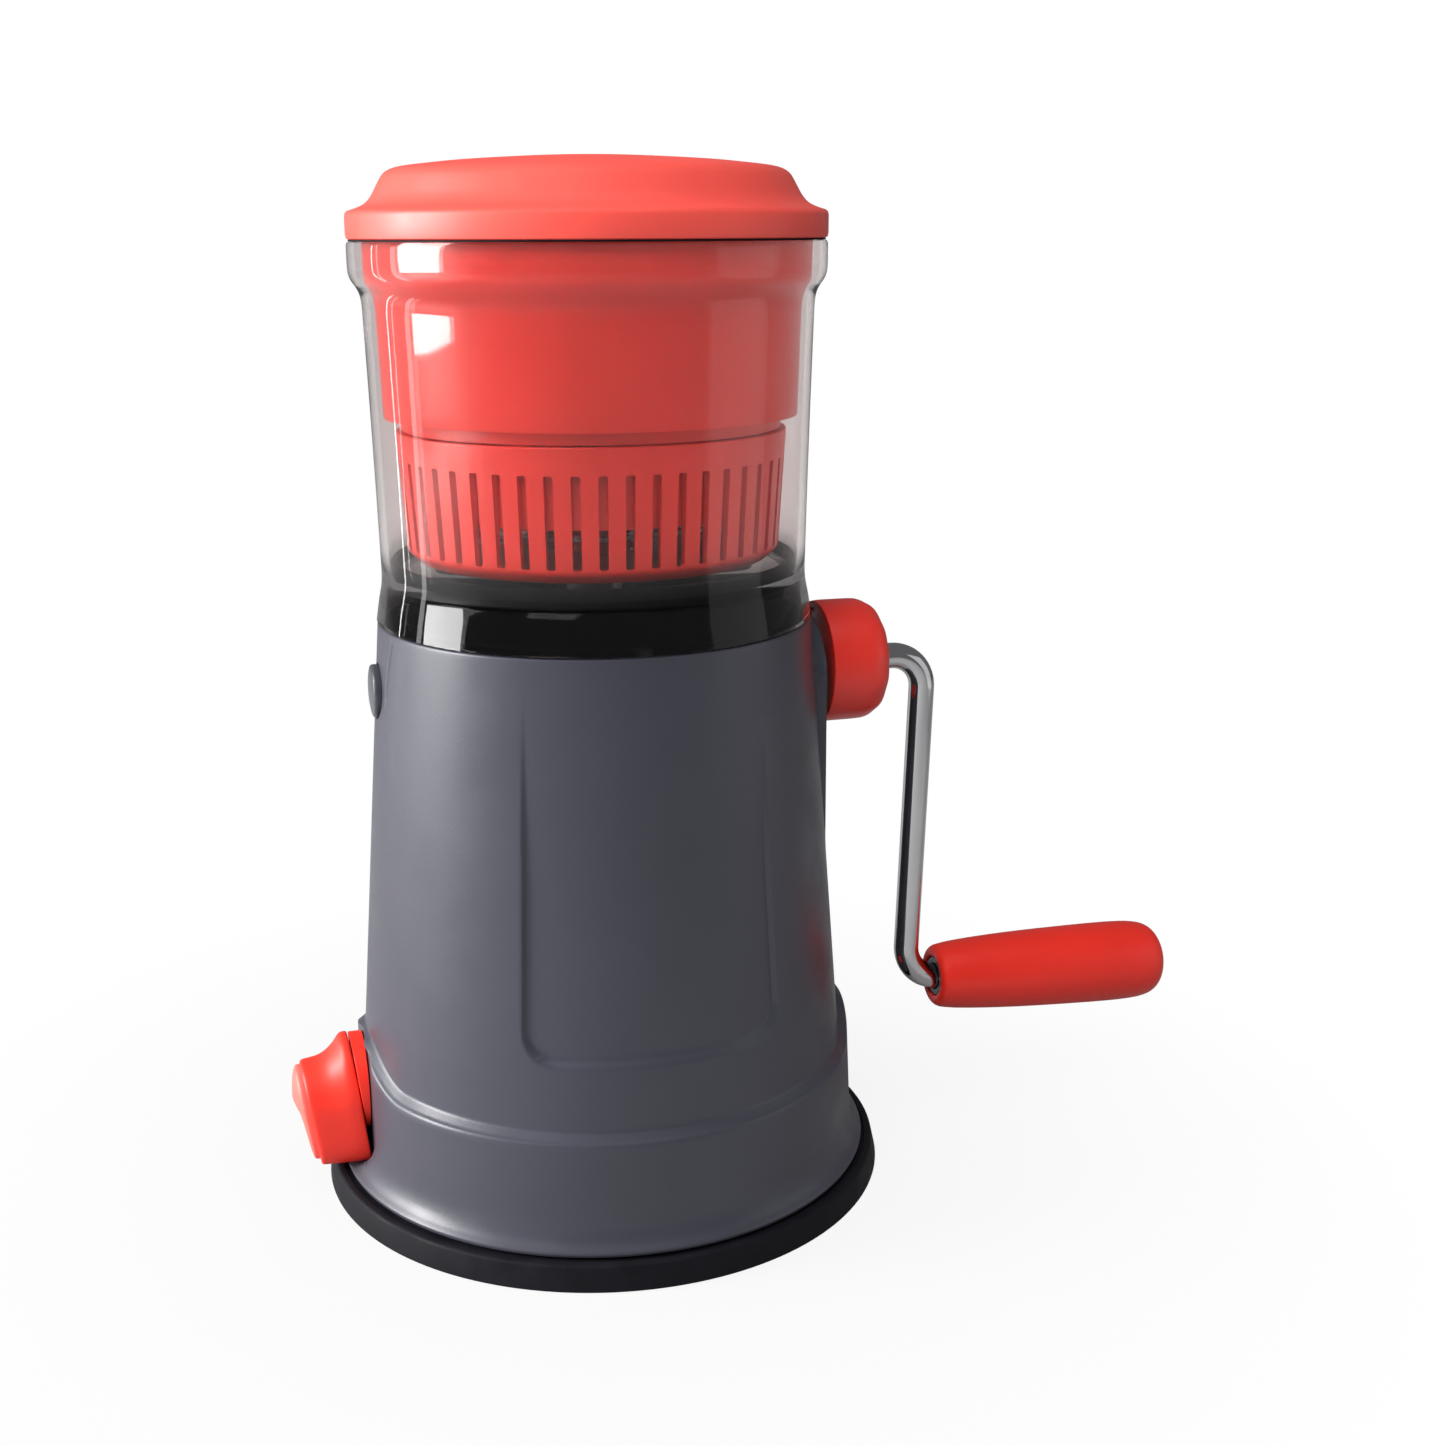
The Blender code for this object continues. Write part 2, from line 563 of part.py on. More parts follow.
def build_grip(parent):
    place = Matrix.Translation(GRIP_START) @ Matrix.Rotation(math.radians(90) + ROD_TILT, 4, "Y")
    outer = [(8.6, 0.0), (10.3, 1.8), (12.0, 18.0), (13.0, 46.0), (GRIP_RADIUS, 64.0), (12.6, 75.5), (9.6, 80.4),
             (0, GRIP_LENGTH)]
    inner = [(0, 45.0), (4.6, 45.0), (4.6, 6.3), (6.6, 6.3), (6.6, 0.0)]
    finished("grip", turned(outer + inner, MEDIUM, place), FINISH["grip_red"], parent, GRIP_START)
    sleeve = tube(6.3, 4.4, 0.6, 6.0, SMALL, place)
    finished("grip_bush", sleeve, FINISH["dark"], parent, GRIP_START)


def build_axle_cap():
    """Domed plug over the end of the crank shaft on the side away from the crank."""
    profile = [(0, 64.3), (7.5, 64.3), (7.8, 64.7), (7.8, 66.5), (7.2, 67.1), (4.5, 67.5), (0, 67.7)]
    place = Matrix.Rotation(math.radians(180), 4, "Z") @ along_x(0, CRANK_HEIGHT)
    finished("axle_cap", turned(profile, MEDIUM, place), FINISH["dark"])


# Deck and drive ------------------------------------------------------------------------------------------------

def build_deck():
    """Stepped cover of the body whose raised platform carries the bowl."""
    profile = [(7.0, PLATFORM_TOP), (7.0, 180.0), (9.5, 180.0), (9.5, 183.0), (52.8, 183.0),
               (53.4, LEDGE_TOP + GAP), (61.2, LEDGE_TOP + GAP), (61.2, 174.9), (PLATFORM_RADIUS, 174.9),
               (PLATFORM_RADIUS, PLATFORM_TOP)]
    deck = finished("top_deck", turned(profile[::-1], BIG), FINISH["black"])
    for number, angle in enumerate(DECK_ANGLES):
        place = Matrix.Rotation(angle, 4, "Z") @ Matrix.Translation((DECK_SCREW_RADIUS, 0, 0))
        cut(deck, tool(f"deck_hole_{number + 1}", tube(1.7, 0, 170.0, 180.0, 8, place)))


def hex_prism(radius, low, high):
    """Six-sided bar measured across its corners."""
    return tube(radius, 0, low, high, 6)


def build_drive(parent):
    origin = (0, 0, 200)
    shaft = finished("drive_shaft", tube(DRIVE_RADIUS, 0, 166.5, 206.0), FINISH["steel"], parent, origin)
    cut(shaft, tool("drive_hex", hex_prism(3.9, 204.0, 214.0)), "UNION")
    ring = tube(6.4, 4.3, 186.2, 187.2, SMALL)
    finished("drive_clip", ring, FINISH["steel"], parent, (0, 0, 187))
    bush = [(4.3, 177.8), (8.9, 177.8), (8.9, 179.6), (6.7, 179.6), (6.7, 185.9), (4.3, 185.9)]
    finished("drive_bush", turned(bush, SMALL), FINISH["brass"])


# Bowl, insert, blades and lid ----------------------------------------------------------------------------------

def bowl_outer():
    return [(64.1, 175.4), (63.1, 181.0), (62.1, 188.0), (62.6, 214.0), (64.1, 266.6), (67.6, 273.4),
            (67.6, BOWL_TOP)]


def build_bowl(parent):
    """Clear tub: skirt, floor with a central chimney for the drive shaft, tapered wall and wider collar."""
    outer = bowl_outer()
    inner = [(radius - BOWL_WALL, height) for radius, height in outer]
    above = [point for point in inner if point[1] > FLOOR_TOP]
    floor = [(inner[2][0], FLOOR_TOP), (8.0, FLOOR_TOP), (7.6, 200.0), (5.4, 200.0), (5.4, 187.8), (7.4, 187.8),
             (7.4, FLOOR_BOTTOM)]
    below = [(inner[2][0] - 0.1, FLOOR_BOTTOM), (inner[1][0], 181.0), (inner[0][0], 175.4)]
    finished("bowl", turned(outer + above[::-1] + floor + below, BIG), FINISH["smoke"], parent, (0, 0, FLOOR_TOP))
    seal = [(56.9, FLOOR_TOP + GAP), (59.4, FLOOR_TOP + GAP), (59.4, 192.6), (56.9, 192.6)]
    finished("bowl_seal", turned(seal, BIG), FINISH["rubber"], parent, (0, 0, FLOOR_TOP))


def build_sleeve(parent):
    """Red sleeve that hangs by its shoulder on the bowl's step, with a neck and a skirt inside the basket."""
    outer = [(52.1, SKIRT_BOTTOM), (52.8, BASKET_TOP + GAP), (54.6, BASKET_TOP + GAP), (54.6, 233.8), (58.9, 234.0),
             (59.5, 235.2), (60.4, 264.8), (63.2, 271.6), (63.4, SLEEVE_TOP)]
    inner = [(61.6, SLEEVE_TOP), (61.4, 272.4), (58.6, 265.6), (57.5, 237.0), (52.4, 233.4), (51.2, BASKET_TOP),
             (50.6, SKIRT_BOTTOM)]
    finished("inner_sleeve", turned(outer + inner, BIG), FINISH["red"], parent, (0, 0, 265))


def slot_cutters():
    """Upright slots all round, as one set of separate prisms."""
    mesh = bmesh.new()
    half = SLOT_WIDTH / 2
    for slot in range(SLOTS):
        turn = Matrix.Rotation(2 * math.pi * (slot + SLOT_PHASE) / SLOTS, 4, "Z")
        outline = [(-half, SLOT_BOTTOM), (half, SLOT_BOTTOM), (half, SLOT_TOP), (-half, SLOT_TOP)]
        near = [mesh.verts.new(turn @ Vector((49.0, y, z))) for y, z in outline]
        far = [mesh.verts.new(turn @ Vector((60.0, y, z))) for y, z in outline]
        mesh.faces.new(near)
        mesh.faces.new(far[::-1])
        for i in range(len(near)):
            j = (i + 1) % len(near)
            mesh.faces.new((near[j], near[i], far[i], far[j]))
    return mesh


def build_basket(parent):
    """Slotted cup; its floor has a hole for the blade hub."""
    outer = [(51.0, BASKET_BOTTOM), (54.2, BASKET_BOTTOM + 3.0), (56.3, 229.4), (55.8, BASKET_TOP)]
    inner = [(53.2, BASKET_TOP), (52.2, BASKET_BOTTOM + 3.4), (50.4, BASKET_BOTTOM + 2.0),
             (13.0, BASKET_BOTTOM + 2.0), (13.0, BASKET_BOTTOM)]
    basket = finished("strainer_basket", turned(outer + inner, SLOTS), FINISH["red"], parent, (0, 0, BASKET_BOTTOM))
    cut(basket, tool("basket_slots", slot_cutters()))


def blade_mesh(height, reach, rise, turn):
    """Two swept cutting arms on one flat boss."""
    outline = []
    for side in (0, math.pi):
        for radius, angle in ((13.6, -42), (reach * 0.55, -14), (reach * 0.92, -10), (reach, 2), (reach * 0.6, 14),
                              (13.6, 36), (13.6, 62), (13.6, 87), (13.6, 112)):
            at = math.radians(angle) + side + turn
            outline.append((radius * math.cos(at), radius * math.sin(at), radius))
    rings = []
    for lift in (0.0, 1.2):
        ring = []
        for x, y, radius in outline:
            share = smooth_step((radius - 16) / (reach - 16))
            ring.append((x, y, height + lift + rise * share))
        rings.append(ring)
    return lofted(rings)


def build_blades(parent):
    """Hub that slips over the bowl's chimney and the hex of the drive shaft, with two blades."""
    hub = [(0, 222.0), (5.5, 221.6), (8.6, 219.6), (10.2, 216.0), (10.8, 190.0), (8.6, 190.0), (8.4, 201.5),
           (4.3, 203.4), (4.3, 215.2), (0, 215.2)]
    finished("blade_hub", turned(hub[::-1], MEDIUM), FINISH["red"], parent, (0, 0, 200))
    blades = (("blade_lower", 198.0, 47.0, 0.0, 0.0), ("blade_upper", 207.0, 43.0, 4.0, 1.2))
    for name, height, reach, rise, turn in blades:
        blade = finished(name, blade_mesh(height, reach, rise, turn), FINISH["steel"], parent, (0, 0, 200))
        cut(blade, tool(f"{name}_bore", tube(11.2, 0, height - 6, height + 8, MEDIUM)))


def build_lid(parent):
    """Lid with an upright rim, a hollow cove and a shallow dome; a short skirt locates it in the sleeve."""
    outer = [(67.7, LID_BOTTOM + 0.4), (67.7, 289.4), (63.0, 291.4), (59.4, 295.4), (57.2, 299.4), (54.6, 301.3),
             (38.9, 303.3), (0, LID_TOP)]
    inner = [(0, 302.6), (38.9, 301.0), (54.0, 298.2), (58.2, 291.8), (58.4, 277.6), (60.4, 277.6), (60.4, 286.2),
             (65.0, 286.2), (65.0, LID_BOTTOM + 0.4)]
    finished("lid", turned(outer + inner, BIG), FINISH["coral"], parent, (0, 0, LID_BOTTOM))
    seal = [(61.0, 282.8), (64.6, 282.8), (64.6, 285.9), (61.0, 285.9)]
    finished("lid_seal", turned(seal, BIG), FINISH["rubber"], parent, (0, 0, LID_BOTTOM))


clear_scene()

FINISH = {
    "slate": material("slate_plastic", (0.115, 0.118, 0.15), 0.5),
    "dark": material("dark_plastic", (0.05, 0.05, 0.06), 0.35),
    "black": material("black_plastic", (0.01, 0.01, 0.012), 0.3),
    "rubber": material("black_rubber", (0.008, 0.008, 0.01), 0.6),
    "red": material("red_plastic", (0.70, 0.05, 0.03), 0.35),
    "lever_red": material("lever_plastic", (0.95, 0.07, 0.03), 0.35),
    "face_red": material("face_plastic", (0.95, 0.16, 0.13), 0.4),
    "grip_red": material("grip_plastic", (0.85, 0.05, 0.03), 0.4),
    "coral": material("lid_plastic", (0.85, 0.13, 0.09), 0.4),
    "chrome": material("chrome", (0.75, 0.75, 0.77), 0.08, 1.0),
    "steel": material("steel", (0.6, 0.6, 0.62), 0.3, 1.0),
    "brass": material("brass", (0.7, 0.5, 0.2), 0.3, 1.0),
    "white": material("gear_nylon", (0.8, 0.8, 0.76), 0.5),
    "smoke": material("smoked_plastic", (0.25, 0.22, 0.2), 0.08, 0.0, 0.4),
}
FOOT_ANGLES = [math.radians(45 + 90 * number) for number in range(4)]
DECK_ANGLES = [math.radians(30 + 120 * number) for number in range(3)]

lever_pivot = pivot("lever_pivot", (0, 0, CAM_HEIGHT))
crank_pivot = pivot("crank_pivot", (0, 0, CRANK_HEIGHT))
grip_pivot = pivot("grip_pivot", GRIP_START)
drive_pivot = pivot("drive_pivot", (0, 0, CRANK_HEIGHT))
bowl_seat = pivot("bowl_seat", (0, 0, FLOOR_TOP))

build_pad()
build_base_frame()
build_housing()
build_screws()
build_bushes()
build_axle_cap()
build_deck()
build_cam_shaft(lever_pivot)
build_pull_yoke()
build_lever(lever_pivot)
build_crank(crank_pivot)
build_gears(crank_pivot, drive_pivot)
build_grip(grip_pivot)
build_drive(drive_pivot)
build_bowl(bowl_seat)
build_sleeve(bowl_seat)
build_basket(bowl_seat)
build_blades(drive_pivot)
build_lid(bowl_seat)
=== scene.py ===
"""Looks of the hand crank grinder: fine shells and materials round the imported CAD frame.

Lengths are in millimetres until a mesh is finished; +Z is up, the front is -Y and the crank points to +X.
"""

import json
import math

import bmesh
import bpy
from mathutils import Matrix, Vector


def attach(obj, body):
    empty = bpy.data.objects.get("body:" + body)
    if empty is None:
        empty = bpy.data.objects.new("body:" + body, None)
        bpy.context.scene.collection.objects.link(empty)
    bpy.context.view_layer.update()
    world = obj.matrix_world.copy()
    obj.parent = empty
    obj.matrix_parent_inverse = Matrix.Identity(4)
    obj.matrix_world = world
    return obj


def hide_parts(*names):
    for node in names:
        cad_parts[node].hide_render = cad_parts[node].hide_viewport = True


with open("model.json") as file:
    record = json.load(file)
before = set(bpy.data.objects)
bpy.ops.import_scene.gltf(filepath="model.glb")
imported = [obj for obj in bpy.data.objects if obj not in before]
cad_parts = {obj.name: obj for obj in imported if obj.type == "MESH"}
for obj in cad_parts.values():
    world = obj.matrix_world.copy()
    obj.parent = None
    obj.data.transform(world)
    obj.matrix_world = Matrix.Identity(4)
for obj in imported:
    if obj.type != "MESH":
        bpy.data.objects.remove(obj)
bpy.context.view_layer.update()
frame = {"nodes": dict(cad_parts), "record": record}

MM = 0.001
ROUND = 160               # sides of the large turned pieces
HAND = 72                 # sides of hand-sized pieces
ARC = 5                   # steps of a rounded corner
SHARP = 38                # edges over this angle stay crisp, in degrees

# Body; these main sizes keep to the CAD's
CAM_HEIGHT = 34.0
CRANK_HEIGHT = 155.5
BODY_TOP = 175.0
BODY_TOP_RADIUS = 63.9
CONE_SLOPE = 0.0768
LIP_BOTTOM = 8.1
LIP_TOP = 20.0
BASE_RADIUS = 78.0
RIDGE_RADIUS = 77.0
RIDGE_HEIGHT = 40.3
RIDGE_RISE = 8.2
SHELF_RISE = 2.3
WALL = 2.4
WALL_FLAT_X = 71.8        # inner face of the wall behind the lever's and the cap's seats
SIDE_REACH = 0.85         # cosine past which a direction counts as one of the two sides
BOSS_X = 66.5
BOSS_DROP = 3.2           # the boss's centre lies this far under the crank
BOSS_RIM = 1.5            # plain wall left over the boss
BOSS_RADIUS = 20.5
BOSS_TAIL = 90.0
FLAT_X = 74.5
LEVER_SWEEP = 25.0
SEAT_RADIUS = 15.2
CAP_SEAT_RADIUS = 8.2
SEAT_CROWN = 47.5
SEAT_BLEND = 2.5
SEAT_ROWS_TOP = 52.0      # no seat reaches above this height
HUB_RADIUS = 14.6
HUB_INNER_X = -74.8
PIN_BORE = 4.3
LEDGE_TOP = 172.0
LEDGE_BOTTOM = 168.0
LEDGE_RADIUS = 55.0

# Bowl, sleeve and basket
FLOOR_TOP = 189.2
DEEP_TOP = 189.5          # the smoked tint fades from here
CLEAR_BOTTOM = 197.0      # up to here
BOWL_TOP = 281.8
BOWL_WALL = 2.2
BASKET_BOTTOM = 193.0
BASKET_TOP = 230.0
SLOTS = 48
SLOT_PHASE = 0.68
SLOT_HALF = 1.25
SLOT_ROUND = 0.5
SLOT_BOTTOM = 197.0
SLOT_TOP = 222.4
SKIRT_BOTTOM = 207.5

# Crank rod, grip and lever
ROD_RADIUS = 4.05
ROD_CLEARANCE = 0.02
ROD_SIDES = 32
ROD_TILT = math.radians(1.8)
GRIP_START = Vector((112.0, 0.0, 45.6))
LEVER_INNER_X = -79.4
LEVER_OUTER_X = -94.2
LEVER_LEAN = 4.5
LEVER_TOP = 48.7
LEVER_BOTTOM = 10.8

# Front panel, a shallow field that deepens downwards
PANEL_HALF = math.radians(31.5)
PANEL_MIDDLE = math.radians(-89.5)
PANEL_BOTTOM = 61.5
PANEL_TOP = 168.0
PANEL_DEPTH = 1.5
PANEL_CORNER = 10.0

# Fine lines beside the axle plug, as (height, distance from the plug's upright middle line)
GROOVE_DEPTH = 0.5
GROOVE_WIDTH = 0.4
GROOVE_TOP = 173.0
GROOVE_BOTTOM = 152.0
GROOVE = [(GROOVE_BOTTOM, 11.2), (155.5, 11.9), (159.0, 12.4), (163.5, 12.9), (168.0, 13.9), (172.4, 15.8)]

# Body's lip over the pad, as (height, radius)
LIP = [(LIP_BOTTOM, 81.3), (8.35, 81.7), (8.9, 81.9), (9.4, 81.9), (9.8, 81.6), (10.4, 80.9), (11.2, 80.2),
       (12.2, 79.6), (13.4, 79.1), (15.0, 78.6), (17.0, 78.2), (LIP_TOP, BASE_RADIUS)]

# Studio, in metres
VIEW_AZIMUTH = -102.7                  # direction from the object to the camera, in degrees
LIGHT_AIM_HEIGHT = 0.16
FLOOR_NEAR, FLOOR_FAR = 0.08, 0.26     # the floor's glow rises between these distances
FLOOR_GLOW = 0.88                      # share of pure white right under the object
ROOM_TINT = (0.95, 0.97, 1.0, 1)
ROOM_STRENGTH = 0.17


# Mesh helpers ------------------------------------------------------------------------------------

def smooth_step(value):
    value = min(max(value, 0.0), 1.0)
    return value * value * (3 - 2 * value)


def between(table, value):
    """The second column of a table, read between its rows by the first."""
    for (low, first), (high, second) in zip(table, table[1:]):
        if value <= high:
            return first + (second - first) * (value - low) / (high - low)
    return table[-1][1]


def to_data(name, mesh):
    """A Blender mesh made from a bmesh, which is freed."""
    data = bpy.data.meshes.new(name)
    mesh.to_mesh(data)
    mesh.free()
    return data


def link_object(name, data):
    item = bpy.data.objects.new(name, data)
    bpy.context.scene.collection.objects.link(item)
    return item


def make(name, mesh, body, slot, replaces=(), sharp=SHARP):
    """An object from a bmesh in world millimetres that rides on a body."""
    bmesh.ops.remove_doubles(mesh, verts=mesh.verts, dist=1e-4)
    bmesh.ops.recalc_face_normals(mesh, faces=mesh.faces)
    if mesh.calc_volume(signed=True) < 0:
        bmesh.ops.reverse_faces(mesh, faces=mesh.faces)
    bmesh.ops.transform(mesh, matrix=Matrix.Scale(MM, 4), verts=mesh.verts)
    data = to_data(name, mesh)
    data.shade_smooth()
    data.set_sharp_from_angle(angle=math.radians(sharp))
    data.materials.append(FINISH[slot])
    item = link_object(name, data)
    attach(item, body)
    if replaces:
        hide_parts(*replaces)
    return item


def arc(centre, first, last, steps):
    """Points from centre + first to centre + last along the arc between them."""
    sweep = first.angle(last)
    points = []
    for step in range(steps + 1):
        share = step / steps
        weighed = first * math.sin((1 - share) * sweep) + last * math.sin(share * sweep)
        points.append(centre + weighed / math.sin(sweep))
    return points


def rounded(points):
    """A closed (x, y, radius) outline with its corners replaced by arcs."""
    result = []
    count = len(points)
    for i, (x, y, radius) in enumerate(points):
        corner = Vector((x, y))
        if radius <= 0:
            result.append((x, y))
            continue
        back = Vector(points[i - 1][:2]) - corner
        on = Vector(points[(i + 1) % count][:2]) - corner
        half = back.angle(on) / 2
        if half > math.radians(88):
            result.append((x, y))
            continue
        tangent = min(radius / math.tan(half), back.length * 0.48, on.length * 0.48)
        radius = tangent * math.tan(half)
        centre = corner + (back.normalized() + on.normalized()).normalized() * (radius / math.sin(half))
        first = corner + back.normalized() * tangent - centre
        last = corner + on.normalized() * tangent - centre
        result += [tuple(point) for point in arc(centre, first, last, ARC)]
    return result


def flowing(points, steps=4):
    """A smooth open curve through points."""
    ends = [points[0]] + list(points) + [points[-1]]
    result = []
    for i in range(len(points) - 1):
        a, b, c, d = (Vector(p) for p in ends[i:i + 4])
        for step in range(steps):
            t = step / steps
            result.append(tuple(0.5 * (2 * b + (c - a) * t + (2 * a - 5 * b + 4 * c - d) * t * t
                                       + (3 * b - a - 3 * c + d) * t ** 3)))
    return result + [tuple(points[-1])]


def turned(profile, sides, place=None, shape=None):
    """A closed (radius, height) outline spun about Z; shape may scale the radius by angle and height."""
    mesh = bmesh.new()
    rings = []
    for radius, height in profile:
        if radius < 1e-6:
            rings.append([mesh.verts.new((0, 0, height))])
            continue
        ring = []
        for step in range(sides):
            angle = 2 * math.pi * step / sides
            reach = radius * (shape(angle, height) if shape else 1.0)
            ring.append(mesh.verts.new((reach * math.cos(angle), reach * math.sin(angle), height)))
        rings.append(ring)
    for first, second in zip(rings, rings[1:] + rings[:1]):
        if len(first) == 1 and len(second) == 1:
            continue
        for i in range(sides):
            j = (i + 1) % sides
            corners = [first[i % len(first)], first[j % len(first)]]
            corners += [second[j % len(second)], second[i % len(second)]]
            mesh.faces.new(list(dict.fromkeys(corners)))
    if place is not None:
        bmesh.ops.transform(mesh, matrix=place, verts=mesh.verts)
    return mesh


def along_x(height):
    """Lays a shape that is turned about Z along X at a height."""
    return Matrix.Translation((0, 0, height)) @ Matrix.Rotation(math.radians(90), 4, "Y")


def lofted(rings):
    """A closed skin over rings that all have the same number of points."""
    mesh = bmesh.new()
    made = [[mesh.verts.new(point) for point in ring] for ring in rings]
    count = len(made[0])
    for first, second in zip(made, made[1:]):
        for i in range(count):
            j = (i + 1) % count
            mesh.faces.new((first[i], first[j], second[j], second[i]))
    mesh.faces.new(made[0])
    mesh.faces.new(made[-1])
    return mesh


def carve(item, mesh):
    """Cuts a bmesh out of a finished object and applies the cut."""
    bmesh.ops.recalc_face_normals(mesh, faces=mesh.faces)
    bmesh.ops.transform(mesh, matrix=Matrix.Scale(MM, 4), verts=mesh.verts)
    cutter = link_object("cutter", to_data("cutter", mesh))
    modifier = item.modifiers.new("carve", "BOOLEAN")
    modifier.object = cutter
    modifier.solver = "EXACT"
    bpy.context.view_layer.update()
    shaped = bpy.data.meshes.new_from_object(item.evaluated_get(bpy.context.evaluated_depsgraph_get()))
    item.modifiers.clear()
    item.data = shaped
    shaped.name = item.name
    shaped.set_sharp_from_angle(angle=math.radians(SHARP))
    bpy.data.objects.remove(cutter)


def bore(item, radius, low, high, place, sides=32):
    """Drills a round hole from low to high along the placed Z axis."""
    carve(item, turned([(0, low), (radius, low), (radius, high), (0, high)], sides, place))


# Materials ---------------------------------------------------------------------------------------

def start_material(name):
    made = bpy.data.materials.new(name)
    made.use_nodes = True
    nodes = made.node_tree.nodes
    place = nodes.new("ShaderNodeTexCoord")
    return made, nodes, made.node_tree.links, nodes["Principled BSDF"], place.outputs["Object"]


def noise(nodes, links, source, scale, detail=2.0, stretch=None):
    if stretch:
        mapping = nodes.new("ShaderNodeMapping")
        mapping.inputs["Scale"].default_value = stretch
        links.new(source, mapping.inputs["Vector"])
        source = mapping.outputs["Vector"]
    made = nodes.new("ShaderNodeTexNoise")
    made.inputs["Scale"].default_value = scale
    made.inputs["Detail"].default_value = detail
    links.new(source, made.inputs["Vector"])
    return made.outputs["Fac"]


def mapped(nodes, links, source, start, end, low=0.0, high=1.0):
    """A value carried from start..end to low..high and held there."""
    made = nodes.new("ShaderNodeMapRange")
    made.inputs["From Min"].default_value = start
    made.inputs["From Max"].default_value = end
    made.inputs["To Min"].default_value = low
    made.inputs["To Max"].default_value = high
    links.new(source, made.inputs["Value"])
    return made.outputs["Result"]


def spread(nodes, links, source, low, high):
    """The middle of a noise spread from low to high."""
    return mapped(nodes, links, source, 0.3, 0.7, low, high)


def tint(nodes, links, factor, first, second):
    made = nodes.new("ShaderNodeMix")
    made.data_type = "RGBA"
    links.new(factor, made.inputs["Factor"])
    made.inputs["A"].default_value = (*first, 1.0)
    made.inputs["B"].default_value = (*second, 1.0)
    return made.outputs["Result"]


def shade(colour, amount):
    return tuple(min(1.0, channel * amount) for channel in colour)


def bumped(nodes, links, shader, height, strength, distance):
    bump = nodes.new("ShaderNodeBump")
    bump.inputs["Strength"].default_value = strength
    bump.inputs["Distance"].default_value = distance
    links.new(height, bump.inputs["Height"])
    links.new(bump.outputs["Normal"], shader.inputs["Normal"])


def plastic(name, colour, roughness, grain=1400.0, relief=0.12, mottle=0.06, specular=0.5):
    """Moulded plastic: faint flow mottling, a fine spark-eroded grain and uneven polish."""
    made, nodes, links, shader, place = start_material(name)
    flow = noise(nodes, links, place, 22.0, 3.0)
    links.new(tint(nodes, links, spread(nodes, links, flow, 0.0, 1.0), shade(colour, 1 - mottle),
                   shade(colour, 1 + mottle)), shader.inputs["Base Color"])
    polish = noise(nodes, links, place, 60.0, 4.0)
    links.new(spread(nodes, links, polish, roughness * 0.85, roughness * 1.15), shader.inputs["Roughness"])
    bumped(nodes, links, shader, noise(nodes, links, place, grain, 3.0), relief, 0.00012)
    shader.inputs["Specular IOR Level"].default_value = specular
    return made


def rubber(name, colour):
    """Matte rubber with a pebbled skin and a little pale dust."""
    made, nodes, links, shader, place = start_material(name)
    dust = noise(nodes, links, place, 120.0, 6.0)
    links.new(tint(nodes, links, spread(nodes, links, dust, 0.0, 0.35), colour, shade(colour, 2.5)),
              shader.inputs["Base Color"])
    links.new(spread(nodes, links, dust, 0.5, 0.72), shader.inputs["Roughness"])
    bumped(nodes, links, shader, noise(nodes, links, place, 900.0, 2.0), 0.2, 0.0002)
    shader.inputs["Specular IOR Level"].default_value = 0.12
    return made


def metal(name, colour, roughness, stretch, relief=0.08):
    """Metal with fine scratches along the axis whose stretch is small."""
    made, nodes, links, shader, place = start_material(name)
    brush = noise(nodes, links, place, 400.0, 5.0, stretch)
    haze = noise(nodes, links, place, 35.0, 3.0)
    links.new(tint(nodes, links, spread(nodes, links, haze, 0.0, 1.0), shade(colour, 0.93),
                   shade(colour, 1.04)), shader.inputs["Base Color"])
    links.new(spread(nodes, links, brush, roughness * 0.7, roughness * 1.4), shader.inputs["Roughness"])
    bumped(nodes, links, shader, brush, relief, 0.00005)
    shader.inputs["Metallic"].default_value = 1.0
    return made


def smoked(name, colour, deep):
    """Clear smoked plastic, darkest at its floor and lowest wall and lightening up the wall to the clear
    part, with faint flow lines down its wall.
    """
    made, nodes, links, shader, place = start_material(name)
    flow = noise(nodes, links, place, 30.0, 3.0, (1.0, 1.0, 0.15))
    wall = tint(nodes, links, spread(nodes, links, flow, 0.0, 1.0), shade(colour, 0.97), shade(colour, 1.03))
    split = nodes.new("ShaderNodeSeparateXYZ")
    links.new(place, split.inputs["Vector"])
    height = mapped(nodes, links, split.outputs["Z"], DEEP_TOP * MM, CLEAR_BOTTOM * MM)
    mixed = nodes.new("ShaderNodeMix")
    mixed.data_type = "RGBA"
    mixed.inputs["A"].default_value = (*deep, 1.0)
    links.new(height, mixed.inputs["Factor"])
    links.new(wall, mixed.inputs["B"])
    links.new(mixed.outputs["Result"], shader.inputs["Base Color"])
    polish = noise(nodes, links, place, 90.0, 4.0)
    links.new(spread(nodes, links, polish, 0.015, 0.05), shader.inputs["Roughness"])
    bumped(nodes, links, shader, flow, 0.06, 0.0006)
    shader.inputs["Transmission Weight"].default_value = 1.0
    shader.inputs["IOR"].default_value = 1.12
    shader.inputs["Coat Weight"].default_value = 0.45
    shader.inputs["Coat Roughness"].default_value = 0.03
    return made


